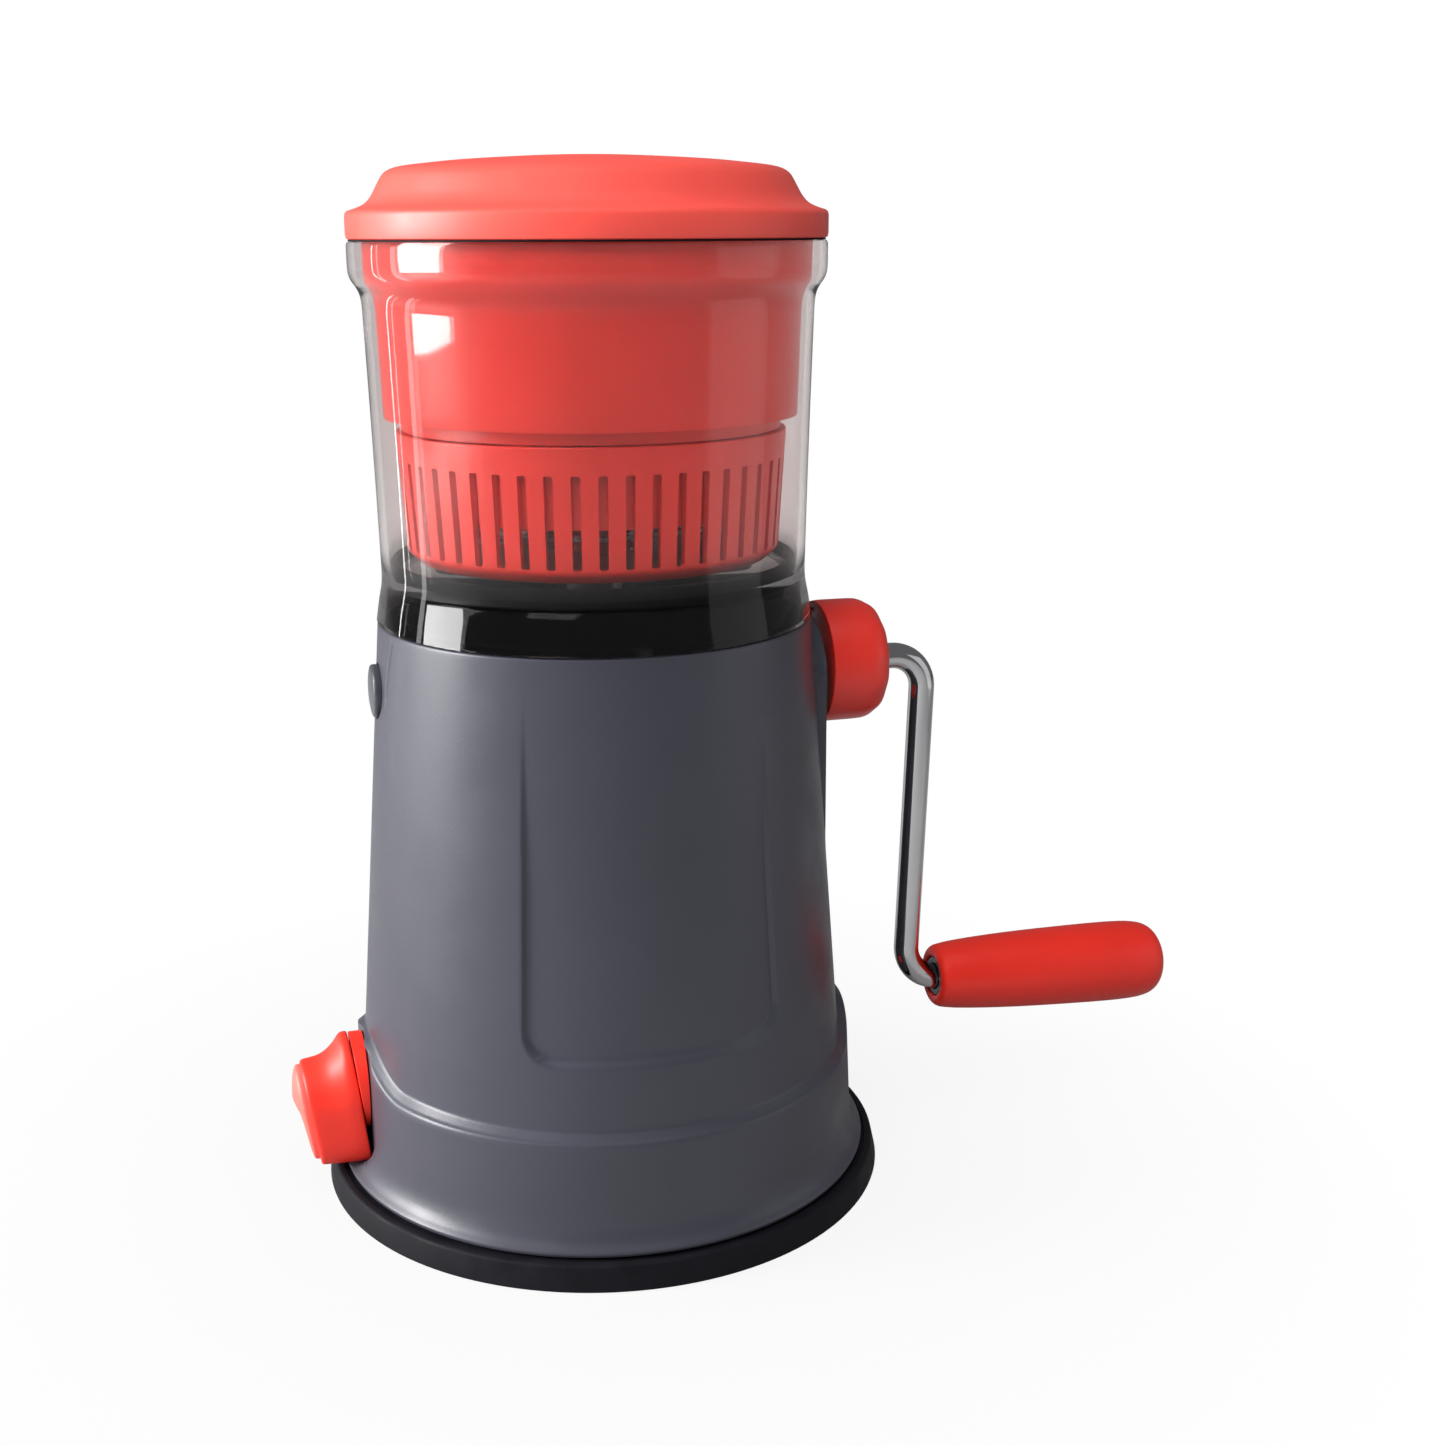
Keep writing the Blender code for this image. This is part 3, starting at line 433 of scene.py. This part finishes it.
FINISH = {
    "slate_plastic": plastic("slate_plastic", (0.044, 0.044, 0.060), 0.38, grain=1100.0, relief=0.22,
                             mottle=0.05),
    "dark_plastic": plastic("dark_plastic", (0.05, 0.052, 0.062), 0.22),
    "black_plastic": plastic("black_plastic", (0.006, 0.006, 0.007), 0.55, specular=0.2),
    "rubber": rubber("rubber", (0.006, 0.006, 0.008)),
    "red_plastic": plastic("red_plastic", (0.74, 0.032, 0.021), 0.36),
    "lever_plastic": plastic("lever_plastic", (0.90, 0.030, 0.015), 0.46),
    "face_plastic": plastic("face_plastic", (0.93, 0.13, 0.105), 0.5, grain=1000.0, relief=0.3),
    "grip_plastic": plastic("grip_plastic", (0.80, 0.025, 0.013), 0.40, grain=1200.0, relief=0.2),
    "lid_plastic": plastic("lid_plastic", (0.84, 0.082, 0.062), 0.45, grain=1200.0, relief=0.2),
    "chrome": metal("chrome", (0.60, 0.59, 0.60), 0.07, stretch=(1.0, 1.0, 0.1), relief=0.03),
    "steel": metal("steel", (0.60, 0.60, 0.62), 0.26, stretch=(0.12, 1.0, 1.0)),
    "brass": metal("brass", (0.66, 0.46, 0.18), 0.30, stretch=(1.0, 1.0, 0.2)),
    "gear_nylon": plastic("gear_nylon", (0.78, 0.77, 0.70), 0.45, grain=700.0, relief=0.2),
    "smoked_plastic": smoked("smoked_plastic", (0.75, 0.69, 0.68), (0.14, 0.13, 0.13)),
}


# Body shell --------------------------------------------------------------------------------------

def cone_radius(height):
    return BODY_TOP_RADIUS + (BODY_TOP - height) * CONE_SLOPE


def side_angle(angle):
    """Degrees between a direction and the nearer of +X and -X."""
    return math.degrees(math.asin(min(1.0, abs(math.sin(angle)))))


def ridge_height(angle):
    return RIDGE_HEIGHT + RIDGE_RISE * (1 - smooth_step((side_angle(angle) - 5) / 22))


def boss_inside(y, height):
    """How far a point of the wall lies inside the boss outline seen along X, in millimetres."""
    centre = CRANK_HEIGHT - BOSS_DROP
    side = BOSS_RADIUS - (math.hypot(y, height - centre) if height > centre else abs(y))
    return min(side, BODY_TOP - BOSS_RIM - height, height - BOSS_TAIL)


def panel_depth(angle, height):
    """Depth of the front panel at one point of the cone."""
    if not PANEL_BOTTOM < height < PANEL_TOP:
        return 0.0
    radius = cone_radius(height)
    across = (PANEL_HALF - abs(angle - PANEL_MIDDLE)) * radius
    up = height - PANEL_BOTTOM
    inside = min(across, up)
    if across < PANEL_CORNER and up < PANEL_CORNER:
        inside = PANEL_CORNER - math.hypot(PANEL_CORNER - across, PANEL_CORNER - up)
    fall = (PANEL_TOP - height) / (PANEL_TOP - PANEL_BOTTOM)
    return PANEL_DEPTH * smooth_step(fall * 1.6) * smooth_step(inside / 1.3)


def groove_depth(y, height):
    """A fine line on each side of the axle plug that closes in towards it as it comes down from the rim."""
    if height < GROOVE_BOTTOM:
        return 0.0
    off = (abs(y) - between(GROOVE, height)) / GROOVE_WIDTH
    fade = smooth_step((height - GROOVE_BOTTOM) / 5.0) * smooth_step((GROOVE_TOP - height) / 1.0)
    return GROOVE_DEPTH * fade * math.exp(-off * off)


def shell_heights(angle):
    """Row heights at one angle: the same count everywhere, with the shelf following its ridge."""
    ridge = ridge_height(angle)
    foot = ridge + SHELF_RISE
    rows = [height for height, radius in LIP]
    rows += [LIP_TOP + (ridge - 1.0 - LIP_TOP) * step / 12 for step in range(1, 13)]
    rows += [ridge + offset for offset in (-0.6, -0.3, -0.1, 0.1, 0.35, 0.7, 1.1)]
    rows += [ridge + offset for offset in (1.5, 1.9, 2.2, 2.6, 3.1, 3.8)]
    rows += [foot + 2.0 + (BODY_TOP - 2.9 - foot) * step / 110 for step in range(1, 111)]
    return rows + [BODY_TOP - 0.45, BODY_TOP - 0.15, BODY_TOP]


def shell_radius(angle, height):
    """Outer radius of the body at one angle and height."""
    ridge = ridge_height(angle)
    if height <= LIP_TOP:
        radius = between(LIP, height)
    elif height <= ridge - 1.0:
        radius = BASE_RADIUS + (RIDGE_RADIUS - BASE_RADIUS) * (height - LIP_TOP) / (ridge - LIP_TOP)
    elif height < ridge + SHELF_RISE + 1.6:
        foot = cone_radius(ridge + SHELF_RISE)
        shelf = [(-1.0, RIDGE_RADIUS), (-0.6, 76.9), (-0.3, 76.75), (-0.1, 76.55), (0.1, 76.3), (0.35, 75.95)]
        shelf += [(1.9, foot + 0.45), (2.2, foot + 0.2), (2.6, foot + 0.02), (3.9, foot - 0.12)]
        radius = between(shelf, height - ridge)
    else:
        radius = cone_radius(height) - panel_depth(angle, height)
    if height > BODY_TOP - 0.6:
        radius -= 0.5 * (1 - (BODY_TOP - height) / 0.6) ** 2
    return side_radius(angle, height, radius)


def side_radius(angle, height, radius):
    """The same radius with the crank's boss, the plug's grooves and the seats of the lever and the cap."""
    towards_crank = math.cos(angle) > 0
    side = abs(math.cos(angle))
    if side <= SIDE_REACH:
        return radius
    y = radius * math.sin(angle)
    if towards_crank and height > BOSS_TAIL:
        flat = BOSS_X / side
        rise = smooth_step(boss_inside(flat * math.sin(angle), height) / 1.2 + 0.5)
        radius = max(radius, radius + (flat - radius) * rise)
    if not towards_crank:
        radius -= groove_depth(y, height)
    if height < SEAT_ROWS_TOP:
        span = math.hypot(y, height - CAM_HEIGHT)
        inside = (CAP_SEAT_RADIUS if towards_crank else SEAT_RADIUS) - span
        if not towards_crank:
            sweep = min(LEVER_SWEEP - span, SEAT_CROWN - height)
            inside = (inside + sweep + math.hypot(inside - sweep, SEAT_BLEND)) / 2
        radius -= max(0.0, radius - FLAT_X / side) * smooth_step(inside / 0.9 + 0.5)
    return radius


def shell_angles():
    """Directions round the body, close together at the boss, the seats, the grooves and the panel's edges."""
    angles = []
    value = 0.0
    while value < 360.0:
        angles.append(math.radians(value))
        from_front = abs(value - 360 - math.degrees(PANEL_MIDDLE))
        if 9 < abs(value - 180) < 15:
            value += 0.2
        elif min(value % 180, 180 - value % 180) < 22 or abs(from_front - math.degrees(PANEL_HALF)) < 3:
            value += 0.4
        else:
            value += 1.5
    return angles


def build_housing():
    mesh = bmesh.new()
    columns = []
    for angle in shell_angles():
        signed = angle - 2 * math.pi if angle > math.pi else angle
        outer = [(shell_radius(signed, height), height) for height in shell_heights(angle)]
        inner = []
        for height in (BODY_TOP, LEDGE_TOP):
            inner.append((cone_radius(height) - WALL, height))
        inner += [(LEDGE_RADIUS, LEDGE_TOP), (LEDGE_RADIUS, LEDGE_BOTTOM)]
        for height in (165.0, 132.0, 88.0, 58.0):
            inner.append((cone_radius(height) - WALL - 0.6, height))
        ridge = ridge_height(signed)
        inner.append((cone_radius(ridge) - WALL - 1.2, ridge + SHELF_RISE))
        for radius, height in ((RIDGE_RADIUS - WALL, ridge - 1.5), (BASE_RADIUS - WALL, LIP_TOP),
                               (BASE_RADIUS - WALL, 12.0), (BASE_RADIUS - WALL, LIP_BOTTOM)):
            side = abs(math.cos(signed))
            if side > SIDE_REACH and height > LIP_BOTTOM:
                radius = min(radius, WALL_FLAT_X / side)
            inner.append((radius, height))
        column = []
        for radius, height in outer + inner:
            column.append(mesh.verts.new((radius * math.cos(angle), radius * math.sin(angle), height)))
        columns.append(column)
    for first, second in zip(columns, columns[1:] + columns[:1]):
        for i in range(len(first)):
            j = (i + 1) % len(first)
            mesh.faces.new((first[i], second[i], second[j], first[j]))
    shell = make("housing_shell", mesh, "base", "slate_plastic", ["housing"], 50)
    for height, radius in ((CAM_HEIGHT, 6.5), (CRANK_HEIGHT, 8.3)):
        bore(shell, radius, -100, 100, along_x(height))


def build_pad():
    profile = rounded([(0, 0, 0), (86.8, 0, 0.8), (85.1, 7.8, 1.4), (82.9, 7.8, 0.3), (82.7, 7.3, 0.2),
                       (62.0, 7.3, 0.8), (57.0, 3.0, 0.8), (12.0, 3.0, 0.8), (10.0, 7.0, 0.6), (0, 7.0, 0)])
    make("pad_ring", turned(profile, ROUND), "base", "rubber", ["suction_pad"])


def build_deck():
    profile = rounded([(7.0, 186.0, 0.3), (7.0, 180.0, 0), (9.5, 180.0, 0), (9.5, 183.0, 0),
                       (52.8, 183.0, 1.0), (53.4, 172.3, 0), (61.2, 172.3, 0.3), (61.2, 174.9, 0.4),
                       (55.4, 174.9, 0.5), (55.4, 186.0, 1.4)])
    deck = make("deck_cover", turned(profile, ROUND), "base", "black_plastic", ["top_deck"])
    for number in range(3):
        place = Matrix.Rotation(math.radians(30 + 120 * number), 4, "Z") @ Matrix.Translation((58.6, 0, 0))
        bore(deck, 1.7, 170.0, 180.0, place, 20)


def build_axle_cap():
    profile = [(0, 64.3), (7.4, 64.3)]
    profile += flowing([(7.7, 64.5), (7.8, 65.2), (7.8, 66.2), (7.6, 66.7), (7.0, 67.1), (4.0, 67.6),
                        (0, 67.7)])
    place = Matrix.Rotation(math.pi, 4, "Z") @ along_x(CRANK_HEIGHT)
    make("axle_plug", turned(profile, HAND, place), "base", "dark_plastic", ["axle_cap"])


# Suction lever -----------------------------------------------------------------------------------

def lever_ring(x, top, bottom, half_width, lean):
    """An upright section of the paddle: rounded above, nearly square below, with its foot leaning in."""
    centre = (top + bottom) / 2
    half_height = (top - bottom) / 2
    ring = []
    for step in range(HAND):
        angle = 2 * math.pi * step / HAND
        power = 2 / (2.3 if math.sin(angle) > 0 else 5.0)
        y = half_width * math.copysign(abs(math.cos(angle)) ** power, math.cos(angle))
        z = centre + half_height * math.copysign(abs(math.sin(angle)) ** power, math.sin(angle))
        ring.append((x + lean * (top - z) / (top - bottom), y, z))
    return ring


def build_lever():
    stations = flowing([(0.0, 48.2, 13.8), (0.4, 48.7, 14.2), (1.7, 48.7, 14.2), (2.9, 47.9, 14.1),
                        (4.4, 45.7, 13.9), (6.9, 43.2, 13.5), (9.5, 41.9, 13.2), (12.4, 41.4, 12.9),
                        (13.8, 41.2, 12.7), (14.5, 40.8, 12.3), (14.8, 40.0, 11.6)], 3)
    rings = []
    for depth, top, half_width in stations:
        rings.append(lever_ring(LEVER_INNER_X - depth, top, LEVER_BOTTOM, half_width, LEVER_LEAN))
    lever = make("lever_paddle", lofted(rings), "lever", "lever_plastic", ["suction_lever"], 60)
    bore(lever, PIN_BORE, -82.0, -70.0, along_x(CAM_HEIGHT))
    face = []
    for depth, top, bottom, half_width in flowing([(-1.2, 39.8, 12.6, 11.1), (0.3, 39.9, 12.5, 11.2),
                                                   (1.3, 39.6, 12.8, 11.0), (2.0, 38.2, 14.6, 9.8),
                                                   (2.5, 35.6, 17.0, 7.6), (2.8, 31.0, 22.0, 4.0)], 3):
        face.append(lever_ring(LEVER_OUTER_X - depth, top, bottom, half_width, 3.9))
    make("lever_inlay", lofted(face), "lever", "face_plastic", ["lever_face"], 60)
    rings = []
    for share, chamfer in ((0.0, 0.3), (0.06, 0.0), (0.94, 0.0), (1.0, 0.3)):
        radius = HUB_RADIUS - chamfer
        ring = []
        for step in range(HAND):
            angle = 2 * math.pi * step / HAND
            z = CAM_HEIGHT + radius * math.sin(angle)
            outer = LEVER_INNER_X + 0.3 + LEVER_LEAN * (LEVER_TOP - z) / (LEVER_TOP - LEVER_BOTTOM)
            ring.append((HUB_INNER_X + share * (outer - HUB_INNER_X), radius * math.cos(angle), z))
        rings.append(ring)
    hub = make("lever_root_ring", lofted(rings), "lever", "lever_plastic", ["lever_hub"])
    bore(hub, PIN_BORE, -90.0, -60.0, along_x(CAM_HEIGHT))
    cap = rounded([(PIN_BORE, 74.8, 0), (7.4, 74.8, 0.2), (7.4, 76.8, 1.2), (4.6, 78.0, 1.5), (0, 78.2, 0),
                   (0, 75.9, 0), (PIN_BORE, 75.9, 0)])
    make("cam_end_cap", turned(cap, HAND, along_x(CAM_HEIGHT)), "lever", "lever_plastic", ["cam_cap"])


# Crank -------------------------------------------------------------------------------------------

def flute(angle, x):
    """Shallow scallops round the collar's outer end."""
    fade = smooth_step((x - 81.0) / 5.0)
    return 1 - 0.022 * fade * (0.5 + 0.5 * math.cos(12 * angle))


def build_collar():
    profile = [(4.4, 89.6), (4.4, 70.7), (16.6, 70.7), (16.6, 69.4), (18.2, 69.4)]
    profile += flowing([(18.6, 69.5), (18.8, 71.5), (18.8, 76.0), (18.75, 81.0), (18.5, 83.6), (17.6, 85.9),
                        (15.9, 87.7), (13.4, 89.0), (10.4, 89.8), (7.5, 90.15)])
    profile += [(6.8, 90.1), (6.4, 89.6)]
    make("collar_knob", turned(profile, 96, along_x(CRANK_HEIGHT), flute), "crank", "red_plastic",
         ["crank_collar"])


def bend(before, corner, after, radius):
    """The arc that replaces a corner of the rod's path."""
    back = (before - corner).normalized()
    on = (after - corner).normalized()
    half = back.angle(on) / 2
    centre = corner + (back + on).normalized() * (radius / math.sin(half))
    tangent = radius / math.tan(half)
    return arc(centre, corner + back * tangent - centre, corner + on * tangent - centre, 16)


def build_rod():
    top = Vector((105.6, 0, CRANK_HEIGHT))
    grip_axis = Vector((math.cos(ROD_TILT), 0, -math.sin(ROD_TILT)))
    arm = Vector((-math.sin(ROD_TILT), 0, -math.cos(ROD_TILT)))
    low = top + arm * (top - GRIP_START).dot(-arm)
    start = Vector((78.4, 0, CRANK_HEIGHT))
    end = low + grip_axis * 50.0
    path = [start] + bend(start, top, low, 10.5) + bend(top, low, end, 11.5) + [end]
    rings = []
    side = Vector((0, 1, 0))
    for i, point in enumerate(path):
        along = (path[min(i + 1, len(path) - 1)] - path[max(i - 1, 0)]).normalized()
        up = side.cross(along)
        ring = []
        for step in range(ROD_SIDES):
            angle = 2 * math.pi * step / ROD_SIDES
            out = side * math.cos(angle) + up * math.sin(angle)
            ring.append(tuple(point + out * (ROD_RADIUS - ROD_CLEARANCE)))
        rings.append(ring)
    make("chrome_arm", lofted(rings), "crank", "chrome", ["crank_rod"])


def build_grip():
    place = Matrix.Translation(GRIP_START) @ Matrix.Rotation(math.radians(90) + ROD_TILT, 4, "Y")
    outer = flowing([(8.0, 0.0), (9.2, 0.35), (10.1, 1.5), (10.6, 3.6), (11.3, 9.0), (12.1, 20.0),
                     (12.7, 33.0), (13.1, 48.0), (13.3, 61.0), (13.2, 69.0), (12.8, 74.0), (11.8, 77.8),
                     (9.6, 80.4), (6.0, 81.8), (0, 82.2)])
    inner = [(0, 45.0), (4.6, 45.0), (4.6, 6.3), (6.6, 6.3), (6.6, 0.3), (7.0, 0.0)]
    make("grip_sleeve", turned(outer + inner, HAND, place), "grip", "grip_plastic", ["grip"])
    bush = rounded([(4.4, 0.6, 0.2), (6.3, 0.6, 0.2), (6.3, 6.0, 0), (4.4, 6.0, 0)])
    make("grip_bearing", turned(bush, 48, place), "grip", "dark_plastic", ["grip_bush"])


# Bowl, insert and lid ----------------------------------------------------------------------------

def build_bowl():
    outer = flowing([(64.1, 175.4), (63.7, 178.0), (63.1, 181.5), (62.4, 185.0), (62.1, 188.5), (62.2, 195.0),
                     (62.6, 214.0), (63.2, 237.0), (63.9, 260.0), (64.1, 265.0), (64.6, 267.8), (65.6, 269.8),
                     (66.7, 271.4), (67.4, 273.2), (67.6, 275.6), (67.6, 281.0)], 3) + [(67.3, BOWL_TOP)]
    inner = [(radius - BOWL_WALL, height) for radius, height in outer]
    above = [point for point in inner if point[1] > FLOOR_TOP + 0.8]
    below = [point for point in inner if point[1] < 186.0]
    floor = [(59.6, FLOOR_TOP + 0.3), (59.0, FLOOR_TOP), (8.4, FLOOR_TOP), (8.0, FLOOR_TOP + 0.4),
             (7.6, 199.6), (7.3, 200.0), (5.4, 200.0), (5.4, 187.8), (7.4, 187.8), (7.4, 186.6),
             (59.4, 186.6)]
    profile = outer + above[::-1] + floor + below[::-1]
    make("bowl_tub", turned(profile, ROUND), "bowl", "smoked_plastic", ["bowl"])
    seal = rounded([(56.9, 189.5, 0.4), (59.6, 189.5, 0.3), (59.6, 193.2, 0.6), (56.9, 192.6, 1.0)])
    make("bowl_gasket", turned(seal, ROUND), "bowl", "rubber", ["bowl_seal"])


def build_sleeve():
    outer = [(52.1, SKIRT_BOTTOM), (52.8, BASKET_TOP + 0.3), (54.6, BASKET_TOP + 0.3), (54.6, 233.8),
             (58.7, 233.9)]
    outer += flowing([(59.3, 234.2), (59.5, 235.0), (59.8, 246.0), (60.2, 258.0), (60.4, 264.0),
                      (60.9, 266.6), (62.2, 269.6), (63.0, 271.8), (63.2, 274.0), (63.4, 281.4),
                      (63.1, 282.2)], 3)
    inner = flowing([(61.9, 282.2), (61.6, 281.4), (61.4, 272.6), (60.4, 269.8), (58.8, 266.2), (58.5, 264.0),
                     (57.7, 240.0), (57.4, 237.4), (56.2, 235.6), (53.2, 233.8), (52.0, 232.0), (51.3, 229.0),
                     (50.7, SKIRT_BOTTOM + 0.3)], 3) + [(51.0, SKIRT_BOTTOM)]
    make("upper_sleeve", turned(outer + inner, ROUND), "insert", "red_plastic", ["inner_sleeve"])


def build_basket():
    profile = rounded([(51.0, BASKET_BOTTOM, 1.5), (54.2, BASKET_BOTTOM + 3.0, 3.0), (56.3, BASKET_TOP, 0.5),
                       (53.2, BASKET_TOP, 0.3), (52.2, BASKET_BOTTOM + 3.4, 2.0),
                       (50.4, BASKET_BOTTOM + 2.0, 0.5),
                       (13.0, BASKET_BOTTOM + 2.0, 0.3), (13.0, BASKET_BOTTOM, 0.3)])
    basket = make("slotted_cup", turned(profile, 4 * SLOTS), "insert", "red_plastic", ["strainer_basket"], 50)
    outline = [(-SLOT_HALF, SLOT_BOTTOM + 0.4), (-SLOT_HALF * 0.7, SLOT_BOTTOM)]
    outline += [(SLOT_HALF * 0.7, SLOT_BOTTOM), (SLOT_HALF, SLOT_BOTTOM + 0.4)]
    for start, centre in ((0.0, SLOT_HALF - SLOT_ROUND), (math.pi / 2, SLOT_ROUND - SLOT_HALF)):
        for step in range(4):
            angle = start + math.pi * step / 6
            outline.append((centre + SLOT_ROUND * math.cos(angle),
                            SLOT_TOP - SLOT_ROUND + SLOT_ROUND * math.sin(angle)))
    mesh = bmesh.new()
    for slot in range(SLOTS):
        turn = Matrix.Rotation(2 * math.pi * (slot + SLOT_PHASE) / SLOTS, 4, "Z")
        near = [mesh.verts.new(turn @ Vector((49.0, y, z))) for y, z in outline]
        far = [mesh.verts.new(turn @ Vector((60.0, y, z))) for y, z in outline]
        mesh.faces.new(near)
        mesh.faces.new(far[::-1])
        for i in range(len(near)):
            j = (i + 1) % len(near)
            mesh.faces.new((near[j], near[i], far[i], far[j]))
    carve(basket, mesh)


def build_lid():
    outer = [(66.8, 282.45), (67.5, 282.8), (67.7, 283.8), (67.7, 288.6), (67.5, 289.5), (66.9, 290.1)]
    outer += flowing([(65.6, 290.5), (63.9, 291.1), (62.0, 292.1), (60.4, 293.8), (59.1, 296.0),
                      (58.0, 298.0), (56.9, 299.7), (55.3, 300.9), (52.4, 301.8), (46.0, 302.6),
                      (38.0, 303.4), (24.0, 304.3), (12.0, 304.85), (0, 305.0)])
    inner = flowing([(0, 302.6), (24.0, 302.0), (38.9, 301.0), (50.0, 299.8), (54.0, 298.2), (56.6, 294.6),
                     (57.9, 291.8), (58.3, 288.0)])
    inner += [(58.4, 278.0), (58.8, 277.6), (60.0, 277.6), (60.4, 278.0), (60.4, 286.2), (65.0, 286.2),
              (65.0, 282.45)]
    make("lid_shell", turned(outer + inner, ROUND), "lid", "lid_plastic", ["lid"])
    seal = rounded([(64.2, 281.95, 0.1), (67.0, 281.95, 0.1), (67.0, 282.4, 0.1), (64.7, 282.4, 0.1),
                    (64.6, 285.9, 0.3), (61.0, 285.9, 0.3), (61.0, 283.0, 0.4), (64.0, 282.7, 0.1)])
    make("lid_gasket", turned(seal, ROUND), "lid", "rubber", ["lid_seal"])


# CAD nodes that stay -----------------------------------------------------------------------------

def finish_kept_nodes():
    """The inner works keep their CAD shape and get a finish."""
    slots = {entry["node"]: entry["material_slot"] for entry in frame["record"]["subparts"]}
    for name, item in frame["nodes"].items():
        item.data.materials.clear()
        item.data.materials.append(FINISH[slots[name]])
        if item.hide_render:
            continue


# Stage -------------------------------------------------------------------------------------------

def camera_sees(nodes, links):
    """1 for what the camera sees, straight or through clear plastic, and 0 for all other light."""
    path = nodes.new("ShaderNodeLightPath")
    either = nodes.new("ShaderNodeMath")
    either.operation = "MAXIMUM"
    links.new(path.outputs["Is Camera Ray"], either.inputs[0])
    links.new(path.outputs["Is Transmission Ray"], either.inputs[1])
    return either.outputs[0]


def mix_shaders(nodes, links, factor, first, second):
    mixed = nodes.new("ShaderNodeMixShader")
    links.new(factor, mixed.inputs["Fac"])
    links.new(first, mixed.inputs[1])
    links.new(second, mixed.inputs[2])
    return mixed.outputs[0]


def build_stage():
    """A pale floor that whitens away from the object, so that it has no horizon."""
    mesh = bmesh.new()
    bmesh.ops.create_grid(mesh, x_segments=1, y_segments=1, size=4.0)
    floor = link_object("floor", to_data("floor", mesh))
    made, nodes, links, shader, place = start_material("floor")
    links.new(tint(nodes, links, noise(nodes, links, place, 3.0), (0.40, 0.40, 0.40), (0.44, 0.44, 0.44)),
              shader.inputs["Base Color"])
    shader.inputs["Roughness"].default_value = 0.8
    shader.inputs["Specular IOR Level"].default_value = 0.1
    reach = nodes.new("ShaderNodeVectorMath")
    reach.operation = "LENGTH"
    links.new(place, reach.inputs[0])
    share = nodes.new("ShaderNodeMath")
    share.operation = "MULTIPLY"
    whiten = mapped(nodes, links, reach.outputs["Value"], FLOOR_NEAR, FLOOR_FAR, FLOOR_GLOW)
    links.new(whiten, share.inputs[0])
    links.new(camera_sees(nodes, links), share.inputs[1])
    glow = nodes.new("ShaderNodeEmission")
    glow.inputs["Strength"].default_value = 1.0
    links.new(mix_shaders(nodes, links, share.outputs[0], shader.outputs[0], glow.outputs[0]),
              nodes["Material Output"].inputs["Surface"])
    floor.data.materials.append(made)


def add_light(name, azimuth, elevation, distance, width, height, power, mirrored=True):
    """A soft box placed by its direction from the object, in degrees; glossy surfaces show a mirrored one."""
    azimuth, elevation = math.radians(azimuth), math.radians(elevation)
    centre = Vector((0, 0, LIGHT_AIM_HEIGHT))
    aim = Vector((math.cos(azimuth) * math.cos(elevation), math.sin(azimuth) * math.cos(elevation),
                  math.sin(elevation)))
    data = bpy.data.lights.new(name, "AREA")
    data.energy = power
    data.shape = "RECTANGLE"
    data.size = width
    data.size_y = height
    item = link_object(name, data)
    item.location = centre + aim * distance
    item.rotation_euler = (-aim).to_track_quat("-Z", "Y").to_euler()
    item.visible_camera = False
    item.visible_glossy = mirrored


def build_lights():
    """A window on the left, fills from the front and top, strips that the bowl reflects, and a dim room."""
    add_light("window", VIEW_AZIMUTH - 84, 16, 1.5, 0.7, 1.0, 48)
    add_light("front", VIEW_AZIMUTH - 25, 40, 1.4, 0.6, 0.6, 12, False)
    add_light("top", VIEW_AZIMUTH + 20, 70, 1.2, 0.8, 0.8, 5.5, False)
    add_light("strip_right", VIEW_AZIMUTH + 77, 4, 0.55, 0.36, 0.34, 0.22)
    add_light("strip_left", VIEW_AZIMUTH - 97, 4, 0.55, 0.035, 0.34, 0.20)
    add_light("strip_edge", VIEW_AZIMUTH - 115, 4, 0.55, 0.010, 0.34, 0.16)
    world = bpy.data.worlds.new("studio")
    bpy.context.scene.world = world
    world.use_nodes = True
    nodes = world.node_tree.nodes
    links = world.node_tree.links
    seen = nodes.new("ShaderNodeBackground")
    seen.inputs["Color"].default_value = (1, 1, 1, 1)
    room = nodes["Background"]
    room.inputs["Color"].default_value = ROOM_TINT
    room.inputs["Strength"].default_value = ROOM_STRENGTH
    links.new(mix_shaders(nodes, links, camera_sees(nodes, links), room.outputs[0], seen.outputs[0]),
              nodes["World Output"].inputs["Surface"])
    bpy.context.scene.view_settings.view_transform = "Standard"


def build_camera():
    """Camera in front and a little to the left, looking down by 15 degrees."""
    distance, height = 0.545, 0.285
    azimuth, pan, tilt, roll = (math.radians(value) for value in (12.7, 3.08, 15.06, -0.24))
    data = bpy.data.cameras.new("camera")
    data.sensor_width = 36.0
    data.lens = 46.39
    data.shift_x = 0.0197
    data.shift_y = 0.0050
    item = link_object("camera", data)
    item.location = (-distance * math.sin(azimuth), -distance * math.cos(azimuth), height)
    heading = azimuth + pan
    forward = Vector((math.sin(heading) * math.cos(tilt), math.cos(heading) * math.cos(tilt),
                      -math.sin(tilt)))
    turn = forward.to_track_quat("-Z", "Y").to_matrix().to_4x4() @ Matrix.Rotation(roll, 4, "Z")
    item.rotation_euler = turn.to_euler()
    bpy.context.scene.camera = item


build_camera()
build_housing()
build_pad()
build_deck()
build_axle_cap()
build_lever()
build_collar()
build_rod()
build_grip()
build_bowl()
build_sleeve()
build_basket()
build_lid()
finish_kept_nodes()
build_stage()
build_lights()
